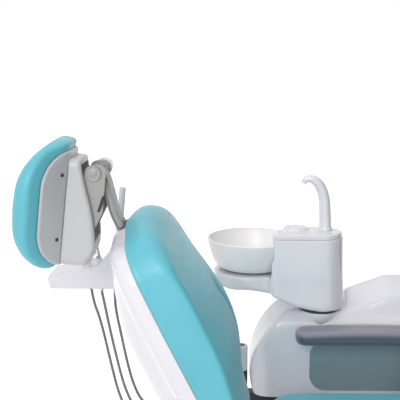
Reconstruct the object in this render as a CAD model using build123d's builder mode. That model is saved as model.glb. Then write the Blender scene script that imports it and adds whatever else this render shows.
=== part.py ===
from build123d import *
import os
from math import atan2, cos, degrees, pi, radians, sin, tan

# Dental treatment chair with a cuspidor box and an assistant's instrument holder.
# Millimetres and degrees. The origin is on the floor, at the centre of the four anchor holes.
# +X points to the patient's feet, +Y to the patient's left, +Z up.

os.makedirs("parts", exist_ok=True)

# ------------------------------------------------------------------ fits
running_gap = 0.05      # radial play of a pin that turns in its bore
open_pivot_gap = 0.6    # play of the pivot at which a closed linkage is opened
yoke_gap = 1.2          # play each side of a drive pin in its slotted yoke
soft_gap = 0.4          # between a cushion and a rigid neighbour
swing_gap = 2.0         # between plates that turn past each other

# ------------------------------------------------------------------ floor base
plate_length = 720.0
plate_width = 420.0
plate_thick = 10.0
plate_corner_r = 40.0
anchor_pitch_x = 560.0
anchor_pitch_y = 320.0
anchor_hole_r = 6.5
cover_margin = 12.0
cover_height = 150.0
cover_wall = 4.0
cover_corner_r = 60.0
cover_taper = 6.0
cover_edge_r = 18.0
cover_slot_margin = 40.0
cover_slot_gap = 6.0

# ------------------------------------------------------------------ parallel lift linkage
lift_pivot_x = 250.0
lift_pivot_z = 170.0
lift_arm_length = 480.0
lift_rest_angle = 8.4
lift_range_up = 38.4
link_spacing = 70.0
lift_pin_r = 10.0
link_pin_r = 8.0
lift_plate = 10.0
lift_plate_y = 85.0
lift_arm_depth = 64.0
lift_hub_r = 22.0
link_plate = 8.0
link_plate_y = 55.0
link_depth = 30.0
link_hub_r = 14.0
bracket_plate = 10.0
pin_head = 4.0
arm_tie_r = 15.0
arm_cover_wall = 3.0
arm_cover_setback = 62.0
arm_cover_top = 92.0
arm_cover_drop = 34.0
arm_cover_r = 10.0

# ------------------------------------------------------------------ drives
lift_horn_r = 100.0
recline_horn_r = 80.0
drive_pin_r = 8.0
horn_plate = 8.0
horn_end_r = 18.0
horn_lip = 6.0
yoke_width = 44.0
yoke_length = 40.0
yoke_height = 54.0
drive_rod_r = 10.0
drive_tube_r = 22.0
lift_tube_length = 240.0
lift_rod_length = 340.0
motor_length = 80.0
motor_width = 76.0
motor_height = 48.0
motor_corner_r = 8.0
saddle_length = 44.0
saddle_width = 50.0
yoke_corner_r = 6.0
yoke_end = 10.0
lift_tube_setback = 190.0
recline_tube_x0 = -190.0
recline_tube_length = 250.0
recline_rod_length = 240.0
recline_slot_lead = 0.2  # sets the slot ahead of the pin, so the play is shared over the travel

# ------------------------------------------------------------------ seat frame
deck_z = 402.0
rail_x_rear = -325.0
knee_x = 300.0
rail_x_front = 700.0
leg_slope = 9.0
rail_depth = 30.0
rail_y = 97.0
rail_width = 40.0
tube_width = 40.0
front_tube_x = 170.0
rear_tube_x = -130.0
tube_reach_left = 540.0
tube_reach_right = 325.0
pan_half_width = 238.0
pan_rear_x = -300.0
pan_front_x = 885.0
pan_depth_seat = 57.0
pan_depth_foot = 46.0
pan_wall = 4.0
pan_slot_half = 118.0
pan_slot_front = 215.0
pan_corner_r = 60.0
pan_notch_gap = 1.0
hanger_width = 80.0
seat_ear_y = 127.0
seat_ear_r = 24.0
seat_ear_foot = 56.0
strap_x = -200.0
strap_gap = 4.5
toe_bar = 20.0

# ------------------------------------------------------------------ cushions
seat_rear_x = -266.0
seat_thick = 95.0
leg_thick = 76.0
foot_thick = 62.0
cushion_split = 3.0
cushion_half_width = 236.0
cushion_edge_r = 24.0
cushion_top_r = 30.0
cushion_low_r = 8.0
seat_tuck = 8.0

# ------------------------------------------------------------------ backrest
hinge_x = -325.0
hinge_z = 435.0
back_angle = 26.6
recline_down = 58.0
recline_up = 8.0
back_pin_r = 8.0
back_tube_r = 18.0
back_ear_y = 112.0
back_ear = 10.0
back_length = 664.0
back_bottom = 28.0
back_half_width = 245.0
back_top_half_width = 226.0
back_corner_r = 95.0
back_seat_n = -4.0
back_edge_thick = 84.0
shell_wall = 5.0
frame_plate = 8.0
shell_depth = 128.0
shell_top_depth = 58.0
shell_crown = 34.0
shell_waist_w = 420.0
shell_heel_w = 150.0
shell_corner_r = 45.0
shell_waist_r = 300.0
shell_side_depth = 44.0
shell_side_slope = 95.0
shell_side_r = 42.0
back_foot_r = 30.0
back_waist_r = 300.0
boss_y = 150.0
boss_low_w = 150.0
boss_high_w = 400.0
boss_r = 12.0
cap_n = -70.0
back_apex_n = 46.0
back_apex_rise = 12.0
lumbar_n = 110.0
lumbar_w = 430.0
back_foot_n = 24.0
back_foot_rise = 12.0
back_low_crown = ((58.0, 151.0), (98.0, 305.0))
back_high_crown = ((97.0, 527.0), (80.0, 626.0))
horn_link_w = 200.0
frame_half_width = 170.0
frame_low_w = 40.0
frame_high_w = 560.0
frame_n = -8.0
guide_wall = 6.0
guide_low_w = 440.0
guide_high_w = 600.0
cap_w = 262.0
cap_r = 14.0
cap_y = 203.0
cap_thick = 15.0
cap_reach = 60.0
foot_slot_depth = 90.0

# ------------------------------------------------------------------ headrest
stem_width = 60.0
stem_thick = 20.0
stem_low_w = 480.0
stem_bend_w = 700.0
stem_waist = (-24.0, 758.0)
stem_fit = 0.3
head_pivot = (-697.0, 1155.0)
head_tilt = (-742.0, 1040.0)
knuckle_r = 16.0
knuckle_half = 38.0
head_pin_r = 6.0
head_pin_end = 60.0
head_link_plate = 6.0
head_link_y = 40.0
link_elbow = (-706.0, 1062.0)
link_toe = (-722.0, 1030.0)
link_end_r = 18.0
drum_centre = (-711.0, 1154.0)
drum_r = 14.0
drum_height = 3.0
link_slot = (-691.0, 1080.0)
link_slot_size = (27.0, 6.0)
link_slot_angle = 72.0
link_slot_deep = 2.0
tilt_tube_r = 12.0
head_x = -772.0
head_z = 1068.0
head_lean = 6.5
head_flat_half = 60.0
head_half_width = 137.0
head_sweep = 54.0
head_pad_half_width = 150.0
head_pad_low = -146.0
head_pad_high = 158.0
head_shell_low = -134.0
head_shell_high = 138.0
head_pad_thick = 60.0
head_shell_thick = 12.0
head_corner_r = 75.0
head_housing_half = 62.0
head_housing_crown = ((56.0, -128.0), (74.0, -86.0), (62.0, -12.0), (30.0, 81.0), (19.0, 136.0))
head_slot_half = 50.0
head_slot_low = -75.0
head_slot_high = 118.0
head_slot_floor = 6.0
head_screw_y = 82.0
head_screw_u = (-71.0, 84.0)
head_screw_r = 5.0
head_screw_deep = 4.0
lock_knob_r = 22.0
lock_knob_height = 26.0
lock_knob_ribs = 12
lock_rib_r = 2.0

# ------------------------------------------------------------------ armrests
arm_rear_x = -183.0
arm_front_x = 230.0
arm_inner_y = 262.0
arm_outer_y = 340.0
arm_top_z = 650.0
arm_thick = 36.0
arm_arch = 8.0
arm_end_r = 27.0
arm_post_x = 170.0
arm_plate_thick = 8.0

# ------------------------------------------------------------------ side box
box_near_y = 362.0
box_far_y = 560.0
box_wall = 4.0
box_nose_x = -312.0
box_front_x = 330.0
box_deck_z = 672.0
box_edge_drop = 30.0
box_edge_width = 38.0
box_edge_r = 14.0
box_nose_r = 60.0
box_bow_foot = 14.0
box_bow_run = 128.0
box_bow = ((0.0, 450.0), (3.0, 509.0))
box_shoulder = ((24.0, 572.0), (64.0, 632.0), (90.0, 657.0))
hood_near_y = 402.0
hood_step = 12.0
hood_ridge_y = 474.0
hood_x = -22.0
hood_stations = ((-22.0, 640.0, 668.0, 719.0), (105.0, 668.0, 712.0, 767.0), (330.0, 690.0, 745.0, 765.0))
spindle_r = 30.0
panel_centre = (75.0, 512.0)
panel_size = (420.0, 160.0)
panel_r = 50.0
panel_deep = 2.0
valve_length = 120.0
valve_width = 50.0
valve_body_height = 34.0
valve_pitch = 36.0
valve_coil_r = 13.0
trap_r = 34.0
trap_height = 130.0

# ------------------------------------------------------------------ cuspidor
swivel_x = -104.0
swivel_y = 420.0
swivel_r = 58.0
swivel_height = 8.0
tower_r = 73.0
tower_top_r = 66.0
tower_run = 146.0
tower_bottom_z = 680.0
tower_top_z = 896.0
spindle_drop = 16.0
cap_height = 16.0
cap_step = 3.0
cap_edge_r = 5.0
beak_clear_r = 118.0
beak_centre = (-214.0, 428.0)
beak_r = 15.0
hump_centre = (-176.0, 440.0)
hump_r = 38.0
hump_height = 9.0
nozzle_r = 5.0
nozzle_drop = 30.0
bowl_x = -305.0
bowl_y = 480.0
bowl_r = 137.0
bowl_rim_z = 880.0
bowl_depth = 93.0
bowl_wall = 6.0
bowl_foot_r = 70.0
bowl_knee = (90.0, 85.0)
bowl_side = ((105.0, 72.0), (128.0, 30.0))
bowl_clear_r = 142.0
bowl_spigot_r = 22.0
bowl_spigot_drop = 12.0
strainer_holes = 6
strainer_hole_r = 2.0
tray_r = 118.0
tray_top_z = 782.0
tray_thick = 42.0
tray_edge = ((0.0, 0.0), (4.0, -22.0), (34.0, -40.0))
tray_underside = ((-240.0, 722.0), (-201.0, 704.0), (-150.0, 688.0))
drain_r = 14.0
spout_x = -88.0
spout_y = 440.0
spout_reach = 67.0
spout_tip_z = 1053.0
spout_bore_r = 4.0
spout_bends = ((0.0, 0.0), (0.0, 60.0), (-8.0, 116.0), (-34.0, 152.0))
spout_sections = ((0.0, 18.5), (0.3, 17.0), (0.55, 15.5), (0.75, 13.0), (0.9, 9.5), (1.0, 8.0))

# ------------------------------------------------------------------ assistant's arm
hub_x = -337.0
hub_y = 430.0
hub_r = 20.0
hub_low_z = 471.0
hub_pin_r = 12.0
arm_low_z = 526.0
arm_bar_height = 23.0
arm_bar_width = 40.0
arm_bar_end_x = -632.0
post_r = 14.0
holder_floor_z = 740.0
holder_tip_z = 784.0
holder_left_x = -913.0
holder_right_x = -600.0
holder_step_x = -750.0
holder_step_z = 808.0
holder_top_x = -716.0
holder_top_z = 872.0
holder_width = 96.0
collar_step = 3.0
collar_height = 8.0
tail_length = 12.0
tail_r = 6.5

# Sockets: x and y on the holder's underside, lean, rim height above it, tool radius.
ejector_socket = (-800.0, 445.0, -8.0, 78.0, 10.0)
syringe_socket = (-762.0, 405.0, -8.0, 90.0, 11.0)
suction_socket = (-722.0, 430.0, 5.3, 146.0, 12.0)
suction_tip_r = 10.0
suction_tip_length = 104.0
ejector_tip_r = 4.0
ejector_tip_length = 90.0
valve_rise = 22.0
valve_r = 5.0
lever_length = 20.0
lever_thick = 4.0
syringe_head = 26.0
syringe_head_height = 46.0
syringe_nozzle_r = 3.0
nozzle_rise = 26.0
nozzle_reach = 30.0
button_heights = (14.0, 32.0)
button_r = 5.0
button_bore = 9.0
button_deep = 4.5
button_proud = 4.0
manifold_ports = (-520.0, -490.0, -460.0)
manifold_edge = 18.0
manifold_height = 26.0
port_length = 10.0

# Hoses: points of each route between the tool's tail and the port on the manifold.
hose_r = 4.25
ejector_route = (
    (-792.0, 445.0, 681.5), (-776.0, 445.0, 636.0), (-762.0, 444.0, 580.0), (-750.0, 444.0, 520.0),
    (-737.0, 443.0, 460.0), (-722.0, 443.0, 392.0), (-697.0, 442.0, 326.0), (-652.0, 441.0, 272.0),
    (-597.0, 440.0, 266.0), (-551.0, 438.0, 304.0), (-529.0, 435.0, 368.0), (-521.0, 432.0, 432.0),
)
syringe_route = (
    (-752.0, 405.0, 684.0), (-742.0, 406.0, 628.0), (-731.0, 408.0, 570.0), (-719.0, 410.0, 512.0),
    (-707.0, 412.0, 455.0), (-690.0, 414.0, 395.0), (-662.0, 416.0, 337.0), (-615.0, 417.0, 298.0),
    (-560.0, 417.5, 300.0), (-518.0, 420.0, 343.0), (-498.0, 425.0, 405.0), (-491.0, 429.0, 455.0),
)
suction_route = (
    (-725.0, 431.0, 690.0), (-719.0, 434.0, 640.0), (-709.0, 438.0, 585.0), (-699.0, 442.0, 528.0),
    (-688.0, 446.0, 470.0), (-674.0, 450.0, 412.0), (-652.0, 455.0, 357.0), (-612.0, 459.0, 318.0),
    (-560.0, 460.0, 316.0), (-505.0, 457.0, 345.0), (-474.0, 448.0, 395.0), (-461.0, 436.0, 448.0),
)


# ------------------------------------------------------------------ planes and points
def side_plane(y):
    """XZ drawing plane at y. An extrusion from it goes towards -Y."""
    return Plane(origin=(0, y, 0), x_dir=(1, 0, 0), z_dir=(0, -1, 0))


back_n = (cos(radians(back_angle)), 0, sin(radians(back_angle)))
back_w = (-sin(radians(back_angle)), 0, cos(radians(back_angle)))
head_v = (cos(radians(head_lean)), 0, -sin(radians(head_lean)))
head_u = (sin(radians(head_lean)), 0, cos(radians(head_lean)))


def back_point(n, w, y=0.0):
    """A point of the backrest: n out of the cushion, w up the back, y to the left."""
    return (hinge_x + n * back_n[0] + w * back_w[0], y, hinge_z + n * back_n[2] + w * back_w[2])


def head_point(v, u, y=0.0):
    """A point of the headrest: v out of its rear shell, u up, y to the left."""
    return (head_x + v * head_v[0] + u * head_u[0], y, head_z + v * head_v[2] + u * head_u[2])


def back_side(y):
    """Drawing plane (n, w) of the backrest. An extrusion from it goes towards -Y."""
    return Plane(origin=(hinge_x, y, hinge_z), x_dir=back_n, z_dir=(0, -1, 0))


def back_front(n):
    """Drawing plane (y, w) of the backrest at n. An extrusion goes out of the cushion."""
    return Plane(origin=back_point(n, 0), x_dir=(0, 1, 0), z_dir=back_n)


def back_section(w):
    """Drawing plane (n, y) across the backrest at w. An extrusion goes up the back."""
    return Plane(origin=back_point(0, w), x_dir=back_n, z_dir=back_w)


def head_side(y):
    """Drawing plane (v, u) of the headrest. An extrusion from it goes towards -Y."""
    return Plane(origin=(head_x, y, head_z), x_dir=head_v, z_dir=(0, -1, 0))


def head_front(v):
    """Drawing plane (y, u) of the headrest at v."""
    return Plane(origin=head_point(v, 0), x_dir=(0, 1, 0), z_dir=head_v)


def head_section(u):
    """Drawing plane (v, y) across the headrest at u."""
    return Plane(origin=head_point(0, u), x_dir=head_v, z_dir=head_u)


def deck(x):
    """Height of the seat deck at x: level to the knee, then falling along the legs."""
    return deck_z - max(0.0, x - knee_x) * tan(radians(leg_slope))


def save(builder, name):
    """Label a finished piece and write its STEP file."""
    builder.part.label = name
    export_step(builder.part, f"parts/{name}.step")


plate_top = plate_thick
lift_seat_x = lift_pivot_x - lift_arm_length * cos(radians(lift_rest_angle))
lift_seat_z = lift_pivot_z + lift_arm_length * sin(radians(lift_rest_angle))
lift_low = (lift_pivot_x, lift_pivot_z)
lift_high = (lift_seat_x, lift_seat_z)
link_low = (lift_pivot_x, lift_pivot_z + link_spacing)
link_high = (lift_seat_x, lift_seat_z + link_spacing)
lift_mid = (lift_range_up - lift_rest_angle) / 2
lift_half = (lift_range_up + lift_rest_angle) / 2
lift_drive_pin = (
    lift_pivot_x + lift_horn_r * sin(radians(lift_mid)),
    lift_pivot_z - lift_horn_r * cos(radians(lift_mid)),
)
lift_rod_z = lift_pivot_z - lift_horn_r * (1 + cos(radians(lift_half))) / 2
recline_mid = (recline_down - recline_up) / 2
recline_half = (recline_down + recline_up) / 2
recline_drive_pin = (
    hinge_x - recline_horn_r * sin(radians(recline_mid)),
    hinge_z - recline_horn_r * cos(radians(recline_mid)),
)
recline_rod_z = hinge_z - recline_horn_r * (1 + cos(radians(recline_half))) / 2
bracket_y = lift_plate_y + lift_plate + swing_gap
arm_cover_y = bracket_y + bracket_plate + pin_head + swing_gap

# ================================================================== floor base
with BuildPart() as base_plate:
    with BuildSketch(Plane.XY):
        RectangleRounded(plate_length, plate_width, plate_corner_r)
        with GridLocations(anchor_pitch_x, anchor_pitch_y, 2, 2):
            Circle(anchor_hole_r, mode=Mode.SUBTRACT)
    extrude(amount=plate_thick)
save(base_plate, "base_plate")

cover_length = plate_length - 2 * cover_margin
cover_width = plate_width - 2 * cover_margin
cover_slot_half = arm_cover_y + arm_cover_wall + cover_slot_gap
with BuildPart() as base_cover:
    with BuildSketch(Plane.XY.offset(plate_top)):
        RectangleRounded(cover_length, cover_width, cover_corner_r)
    extrude(amount=cover_height, taper=cover_taper)
    fillet(base_cover.faces().sort_by(Axis.Z)[-1].edges(), radius=cover_edge_r)
    with BuildSketch(Plane.XY.offset(plate_top)):
        RectangleRounded(
            cover_length - 2 * cover_wall, cover_width - 2 * cover_wall, cover_corner_r - cover_wall
        )
    extrude(amount=cover_height - cover_wall, taper=cover_taper, mode=Mode.SUBTRACT)
    with BuildSketch(Plane.XY.offset(plate_top + cover_height - 2 * cover_wall)):
        RectangleRounded(cover_length - 2 * cover_slot_margin, 2 * cover_slot_half, cover_edge_r)
    extrude(amount=3 * cover_wall, mode=Mode.SUBTRACT)
save(base_cover, "base_cover")

# Two upright cheeks on a foot plate carry the lower pivots.
cheek_foot = 160.0
cheek_foot_thick = 8.0
with BuildPart() as pivot_bracket:
    for y in (bracket_y + bracket_plate, -bracket_y):
        with BuildSketch(side_plane(y)):
            with Locations(lift_low):
                Circle(lift_hub_r + 8)
            with Locations(link_low):
                Circle(link_hub_r + 6)
            with Locations((lift_pivot_x, plate_top + cheek_foot_thick)):
                Rectangle(cheek_foot - 30, 2 * cheek_foot_thick)
            make_hull()
            with Locations(lift_low):
                Circle(lift_pin_r, mode=Mode.SUBTRACT)
            with Locations(link_low):
                Circle(link_pin_r, mode=Mode.SUBTRACT)
        extrude(amount=bracket_plate)
    with BuildSketch(Plane.XY.offset(plate_top)):
        with Locations((lift_pivot_x, 0)):
            Rectangle(cheek_foot, 2 * (bracket_y + bracket_plate) + 30)
    extrude(amount=cheek_foot_thick)
save(pivot_bracket, "pivot_bracket")


def round_bar(plane, centre, radius, length, mode=Mode.ADD):
    """A cylinder from plane, along its normal, centred at a point of the plane."""
    with BuildSketch(plane) as profile:
        with Locations(centre):
            Circle(radius)
    extrude(profile.sketch, amount=length, mode=mode)


def cross_bar(centre, radius, half_length, mode=Mode.ADD):
    """A cylinder along Y through a point of the XZ plane, centred on the mid plane."""
    round_bar(side_plane(half_length), centre, radius, 2 * half_length, mode)


def pivot_pins(centres, radii, half_length, head):
    """Headed cross pins through the given points of the XZ plane."""
    for centre, radius in zip(centres, radii):
        cross_bar(centre, radius, half_length)
        for y in (half_length + head, -half_length):
            round_bar(side_plane(y), centre, radius + head, head)


pin_half = bracket_y + bracket_plate
with BuildPart() as lower_pivot_pins:
    pivot_pins((lift_low, link_low), (lift_pin_r, link_pin_r), pin_half, pin_head)
save(lower_pivot_pins, "lower_pivot_pins")


def linear_drive(tube_x0, tube_length, axis_z, motor_side, saddle_z):
    """Tube, motor block and saddles of a spindle drive that lies along X, with its rod bore."""
    motor_x = tube_x0 + tube_length / 2 + motor_side * (tube_length + motor_length) / 2
    round_bar(Plane.YZ.offset(tube_x0), (0, axis_z), drive_tube_r, tube_length)
    with BuildSketch(Plane.YZ.offset(motor_x - motor_length / 2)) as motor:
        with Locations((0, axis_z)):
            RectangleRounded(motor_width, motor_height, motor_corner_r)
    extrude(motor.sketch, amount=motor_length)
    low, high = sorted((axis_z, saddle_z))
    for saddle_x in (motor_x, tube_x0 + tube_length / 2):
        with Locations((saddle_x, 0, (low + high) / 2)):
            Box(saddle_length, saddle_width, high - low)
    bore_r = drive_rod_r + running_gap
    round_bar(Plane.YZ.offset(tube_x0), (0, axis_z), bore_r, tube_length, Mode.SUBTRACT)


def drive_rod(yoke_x, rod_x0, rod_x1, axis_z):
    """Round rod with a slotted yoke that a drive pin slides in."""
    round_bar(Plane.YZ.offset(rod_x0), (0, axis_z), drive_rod_r, rod_x1 - rod_x0)
    with BuildSketch(side_plane(yoke_width / 2)) as yoke:
        with Locations((yoke_x, axis_z)):
            RectangleRounded(yoke_length, yoke_height, yoke_corner_r)
    extrude(yoke.sketch, amount=yoke_width)
    with BuildSketch(side_plane(yoke_width / 2)) as slot:
        with Locations((yoke_x, axis_z)):
            SlotOverall(yoke_height - 2 * yoke_end, 2 * (drive_pin_r + yoke_gap), 90)
    extrude(slot.sketch, amount=yoke_width, mode=Mode.SUBTRACT)


lift_tube_x0 = lift_pivot_x - lift_tube_length - lift_tube_setback
with BuildPart() as lift_actuator:
    linear_drive(lift_tube_x0, lift_tube_length, lift_rod_z, -1, plate_top)
save(lift_actuator, "lift_actuator")

lift_yoke_x = lift_drive_pin[0]
with BuildPart() as lift_rod:
    drive_rod(lift_yoke_x, lift_yoke_x - lift_rod_length, lift_yoke_x, lift_rod_z)
save(lift_rod, "lift_rod")


def drive_horns(pivot, pin, inner_y):
    """Two cheeks from a hub to a drive pin, with the pin between them."""
    for y in (inner_y + horn_plate, -inner_y):
        with BuildSketch(side_plane(y)) as cheek:
            with Locations(pivot):
                Circle(horn_end_r)
            with Locations(pin):
                Circle(drive_pin_r + horn_lip)
            make_hull()
        extrude(cheek.sketch, amount=horn_plate)
    cross_bar(pin, drive_pin_r, inner_y + horn_plate)


horn_y = yoke_width / 2 + swing_gap
with BuildPart() as lift_arm:
    for y in (lift_plate_y + lift_plate, -lift_plate_y):
        with BuildSketch(side_plane(y)):
            with Locations(lift_low, lift_high):
                Circle(lift_arm_depth / 2)
            make_hull()
        extrude(amount=lift_plate)
    lift_middle = ((lift_low[0] + lift_high[0]) / 2, (lift_low[1] + lift_high[1]) / 2)
    for pivot in (lift_low, lift_high):
        cross_bar(pivot, lift_hub_r, lift_plate_y)
    cross_bar(lift_middle, arm_tie_r, arm_cover_y)
    drive_horns(lift_low, lift_drive_pin, horn_y)
    for pivot in (lift_low, lift_high):
        cross_bar(pivot, lift_pin_r + running_gap, lift_plate_y + lift_plate, Mode.SUBTRACT)
save(lift_arm, "lift_arm")

with BuildPart() as parallel_arm:
    for y in (link_plate_y + link_plate, -link_plate_y):
        with BuildSketch(side_plane(y)):
            with Locations(link_low, link_high):
                Circle(link_depth / 2)
            make_hull()
        extrude(amount=link_plate)
    for pivot in (link_low, link_high):
        cross_bar(pivot, link_hub_r, link_plate_y)
    for pivot, gap in ((link_low, running_gap), (link_high, open_pivot_gap)):
        cross_bar(pivot, link_pin_r + gap, link_plate_y + link_plate, Mode.SUBTRACT)
save(parallel_arm, "parallel_arm")

# Moulded hood over the two arms, drawn across the arm and carried by its tie tube.
arm_dir = (-cos(radians(lift_rest_angle)), 0, sin(radians(lift_rest_angle)))
arm_cover_length = lift_arm_length - 2 * arm_cover_setback
arm_cover_start = Vector(lift_pivot_x, 0, lift_pivot_z) + Vector(arm_dir) * arm_cover_setback
arm_cover_height = arm_cover_top + arm_cover_drop
arm_cover_middle = (arm_cover_drop - arm_cover_top) / 2
with BuildPart() as lift_arm_cover:
    with BuildSketch(Plane(origin=arm_cover_start, x_dir=(0, 1, 0), z_dir=arm_dir)):
        with Locations((0, arm_cover_middle)):
            RectangleRounded(2 * (arm_cover_y + arm_cover_wall), arm_cover_height, arm_cover_r)
        with Locations((0, arm_cover_middle + arm_cover_wall)):
            Rectangle(2 * arm_cover_y, arm_cover_height - arm_cover_wall, mode=Mode.SUBTRACT)
        with Locations((0, arm_cover_drop)):
            Rectangle(2 * (arm_cover_y + arm_cover_wall), 2 * arm_cover_r, mode=Mode.SUBTRACT)
    extrude(amount=arm_cover_length)
save(lift_arm_cover, "lift_arm_cover")


# ================================================================== seat frame
def rail_floor(x):
    """Underside of the frame rails."""
    return deck(x) - rail_depth


def pan_floor(x):
    """Underside of the moulded pan, which gets shallower towards the feet."""
    share = max(0.0, x - knee_x) / (pan_front_x - knee_x)
    return deck(x) - pan_depth_seat + share * (pan_depth_seat - pan_depth_foot)


def deck_strip(y, x0, x1, top, floor, width, mode=Mode.ADD):
    """A bar from y towards -Y whose top and floor are functions of x, bent at the knee."""
    stations = [x0, knee_x, x1] if x0 < knee_x < x1 else [x0, x1]
    outline = [(x, top(x)) for x in stations] + [(x, floor(x)) for x in reversed(stations)]
    with BuildSketch(side_plane(y)) as strip:
        with BuildLine():
            Polyline(*outline, close=True)
        make_face()
    extrude(strip.sketch, amount=width, mode=mode)


def block(x_range, y_range, z_range, mode=Mode.ADD):
    """A rectangular block between the given pairs of limits."""
    sizes = [high - low for low, high in (x_range, y_range, z_range)]
    middle = tuple((low + high) / 2 for low, high in (x_range, y_range, z_range))
    with Locations(middle):
        Box(*sizes, mode=mode)


def toe_plan(half_width):
    """Keep what lies inside a plan outline whose corners at the toes are rounded."""
    with BuildSketch(Plane.XY) as plan:
        with BuildLine() as outline:
            FilletPolyline(
                (pan_rear_x, -half_width), (pan_front_x, -half_width),
                (pan_front_x, half_width), (pan_rear_x, half_width),
                radius=(0, pan_corner_r, pan_corner_r, 0), close=True,
            )
        make_face(outline.edges())
    extrude(plan.sketch, amount=2 * deck_z, mode=Mode.INTERSECT)


rail_outer_y = rail_y + rail_width
tube_z = (deck_z - rail_depth, deck_z)
front_tube = (front_tube_x - tube_width / 2, front_tube_x + tube_width / 2)
rear_tube = (rear_tube_x - tube_width / 2, rear_tube_x + tube_width / 2)
with BuildPart() as seat_frame:
    for y in (rail_outer_y, -rail_y):
        deck_strip(y, rail_x_rear, rail_x_front, deck, rail_floor, rail_width)
    for y in (bracket_y + bracket_plate, -bracket_y):
        with BuildSketch(side_plane(y)):
            with Locations(lift_high):
                Circle(lift_hub_r)
            with Locations(link_high):
                Circle(link_hub_r + 4)
            with Locations((lift_seat_x, deck_z - rail_depth / 2)):
                Rectangle(hanger_width, rail_depth)
            make_hull()
            with Locations(lift_high):
                Circle(lift_pin_r, mode=Mode.SUBTRACT)
            with Locations(link_high):
                Circle(link_pin_r, mode=Mode.SUBTRACT)
        extrude(amount=bracket_plate)
    for y in (seat_ear_y + back_ear, -seat_ear_y):
        with BuildSketch(side_plane(y)):
            with Locations((hinge_x, hinge_z)):
                Circle(seat_ear_r)
            with Locations((rail_x_rear + seat_ear_foot / 2, deck_z - rail_depth / 2)):
                Rectangle(seat_ear_foot, rail_depth)
            make_hull()
            with Locations((hinge_x, hinge_z)):
                Circle(back_pin_r, mode=Mode.SUBTRACT)
        extrude(amount=back_ear)
    strap_z = (recline_rod_z + drive_tube_r + strap_gap, deck_z)
    block((strap_x - tube_width / 2, strap_x + tube_width / 2), (-rail_y, rail_y), strap_z)
    block(front_tube, (-tube_reach_right, tube_reach_left), tube_z)
    block(rear_tube, (rail_y, tube_reach_left), tube_z)
    toe_top = deck(rail_x_front)
    block((rail_x_front - tube_width, rail_x_front), (-rail_y, rail_y), (toe_top - toe_bar, toe_top))
save(seat_frame, "seat_frame")

with BuildPart() as upper_pivot_pins:
    pivot_pins((lift_high, link_high), (lift_pin_r, link_pin_r), pin_half, pin_head)
save(upper_pivot_pins, "upper_pivot_pins")

with BuildPart() as back_hinge_pin:
    pivot_pins(((hinge_x, hinge_z),), (back_pin_r,), seat_ear_y + back_ear, pin_head)
save(back_hinge_pin, "back_hinge_pin")

# The recline drive hangs under the strap and works the backrest's horns.
with BuildPart() as recline_actuator:
    linear_drive(recline_tube_x0, recline_tube_length, recline_rod_z, 1, strap_z[0])
save(recline_actuator, "recline_actuator")

recline_yoke_x = recline_drive_pin[0] + recline_slot_lead
with BuildPart() as recline_rod:
    drive_rod(recline_yoke_x, recline_yoke_x, recline_yoke_x + recline_rod_length, recline_rod_z)
save(recline_rod, "recline_rod")

# Moulded pan under the seat and legs: open above and behind, slotted for the lift arms.
pan_inner_y = pan_half_width - pan_wall
with BuildPart() as seat_pan:
    deck_strip(pan_half_width, pan_rear_x, pan_front_x, deck, pan_floor, 2 * pan_half_width)
    toe_plan(pan_half_width)
    deck_strip(
        pan_inner_y, pan_rear_x - pan_wall, pan_front_x - pan_corner_r,
        lambda x: deck(x) + pan_wall, lambda x: pan_floor(x) + pan_wall, 2 * pan_inner_y, Mode.SUBTRACT,
    )
    pan_slot_x = (pan_rear_x - pan_wall, pan_slot_front)
    pan_slot_z = (deck_z - pan_depth_seat - pan_wall, deck_z - pan_depth_seat + 2 * pan_wall)
    block(pan_slot_x, (-pan_slot_half, pan_slot_half), pan_slot_z, Mode.SUBTRACT)
    for tube, sides in ((front_tube, (-1, 1)), (rear_tube, (1,))):
        notch_x = (tube[0] - pan_notch_gap, tube[1] + pan_notch_gap)
        notch_z = (tube_z[0] - pan_notch_gap, tube_z[1] + pan_wall)
        for side in sides:
            notch_y = sorted((side * (pan_inner_y - pan_wall), side * (pan_half_width + pan_wall)))
            block(notch_x, notch_y, notch_z, Mode.SUBTRACT)
    for y in (rail_outer_y, -rail_outer_y + pan_wall):
        deck_strip(
            y, pan_rear_x + seat_ear_foot, rail_x_front - tube_width,
            rail_floor, lambda x: pan_floor(x) + pan_wall / 2, pan_wall,
        )
save(seat_pan, "seat_pan")


# ================================================================== seat and leg cushions
def rounded_bar(builder, radius):
    """Round the edges of both side faces of a piece that was extruded along Y."""
    side_faces = builder.faces().sort_by(Axis.Y)
    fillet(side_faces[0].edges() + side_faces[-1].edges(), radius=radius)


seat_front_x = knee_x - cushion_split / 2
leg_rear_x = knee_x + cushion_split / 2
seat_floor = deck_z + soft_gap
seat_top = seat_floor + seat_thick
with BuildPart() as seat_cushion:
    with BuildSketch(side_plane(cushion_half_width)):
        with BuildLine():
            FilletPolyline(
                (seat_rear_x, seat_floor), (seat_rear_x - seat_tuck, seat_top),
                (seat_front_x, seat_top), (seat_front_x, seat_floor),
                radius=(cushion_low_r, cushion_top_r, cushion_low_r, cushion_low_r), close=True,
            )
        make_face()
    extrude(amount=2 * cushion_half_width)
    rounded_bar(seat_cushion, cushion_edge_r / 4)
save(seat_cushion, "seat_cushion")


def leg_floor(x):
    """Underside of the leg cushion, parallel to the falling deck."""
    return deck(x) + soft_gap


with BuildPart() as leg_cushion:
    with BuildSketch(side_plane(cushion_half_width)):
        with BuildLine():
            FilletPolyline(
                (leg_rear_x, leg_floor(leg_rear_x)), (leg_rear_x, leg_floor(leg_rear_x) + leg_thick),
                (pan_front_x, leg_floor(pan_front_x) + foot_thick), (pan_front_x, leg_floor(pan_front_x)),
                radius=(cushion_low_r, cushion_top_r / 2, cushion_top_r, cushion_low_r), close=True,
            )
        make_face()
    extrude(amount=2 * cushion_half_width)
    toe_plan(cushion_half_width)
save(leg_cushion, "leg_cushion")

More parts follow.
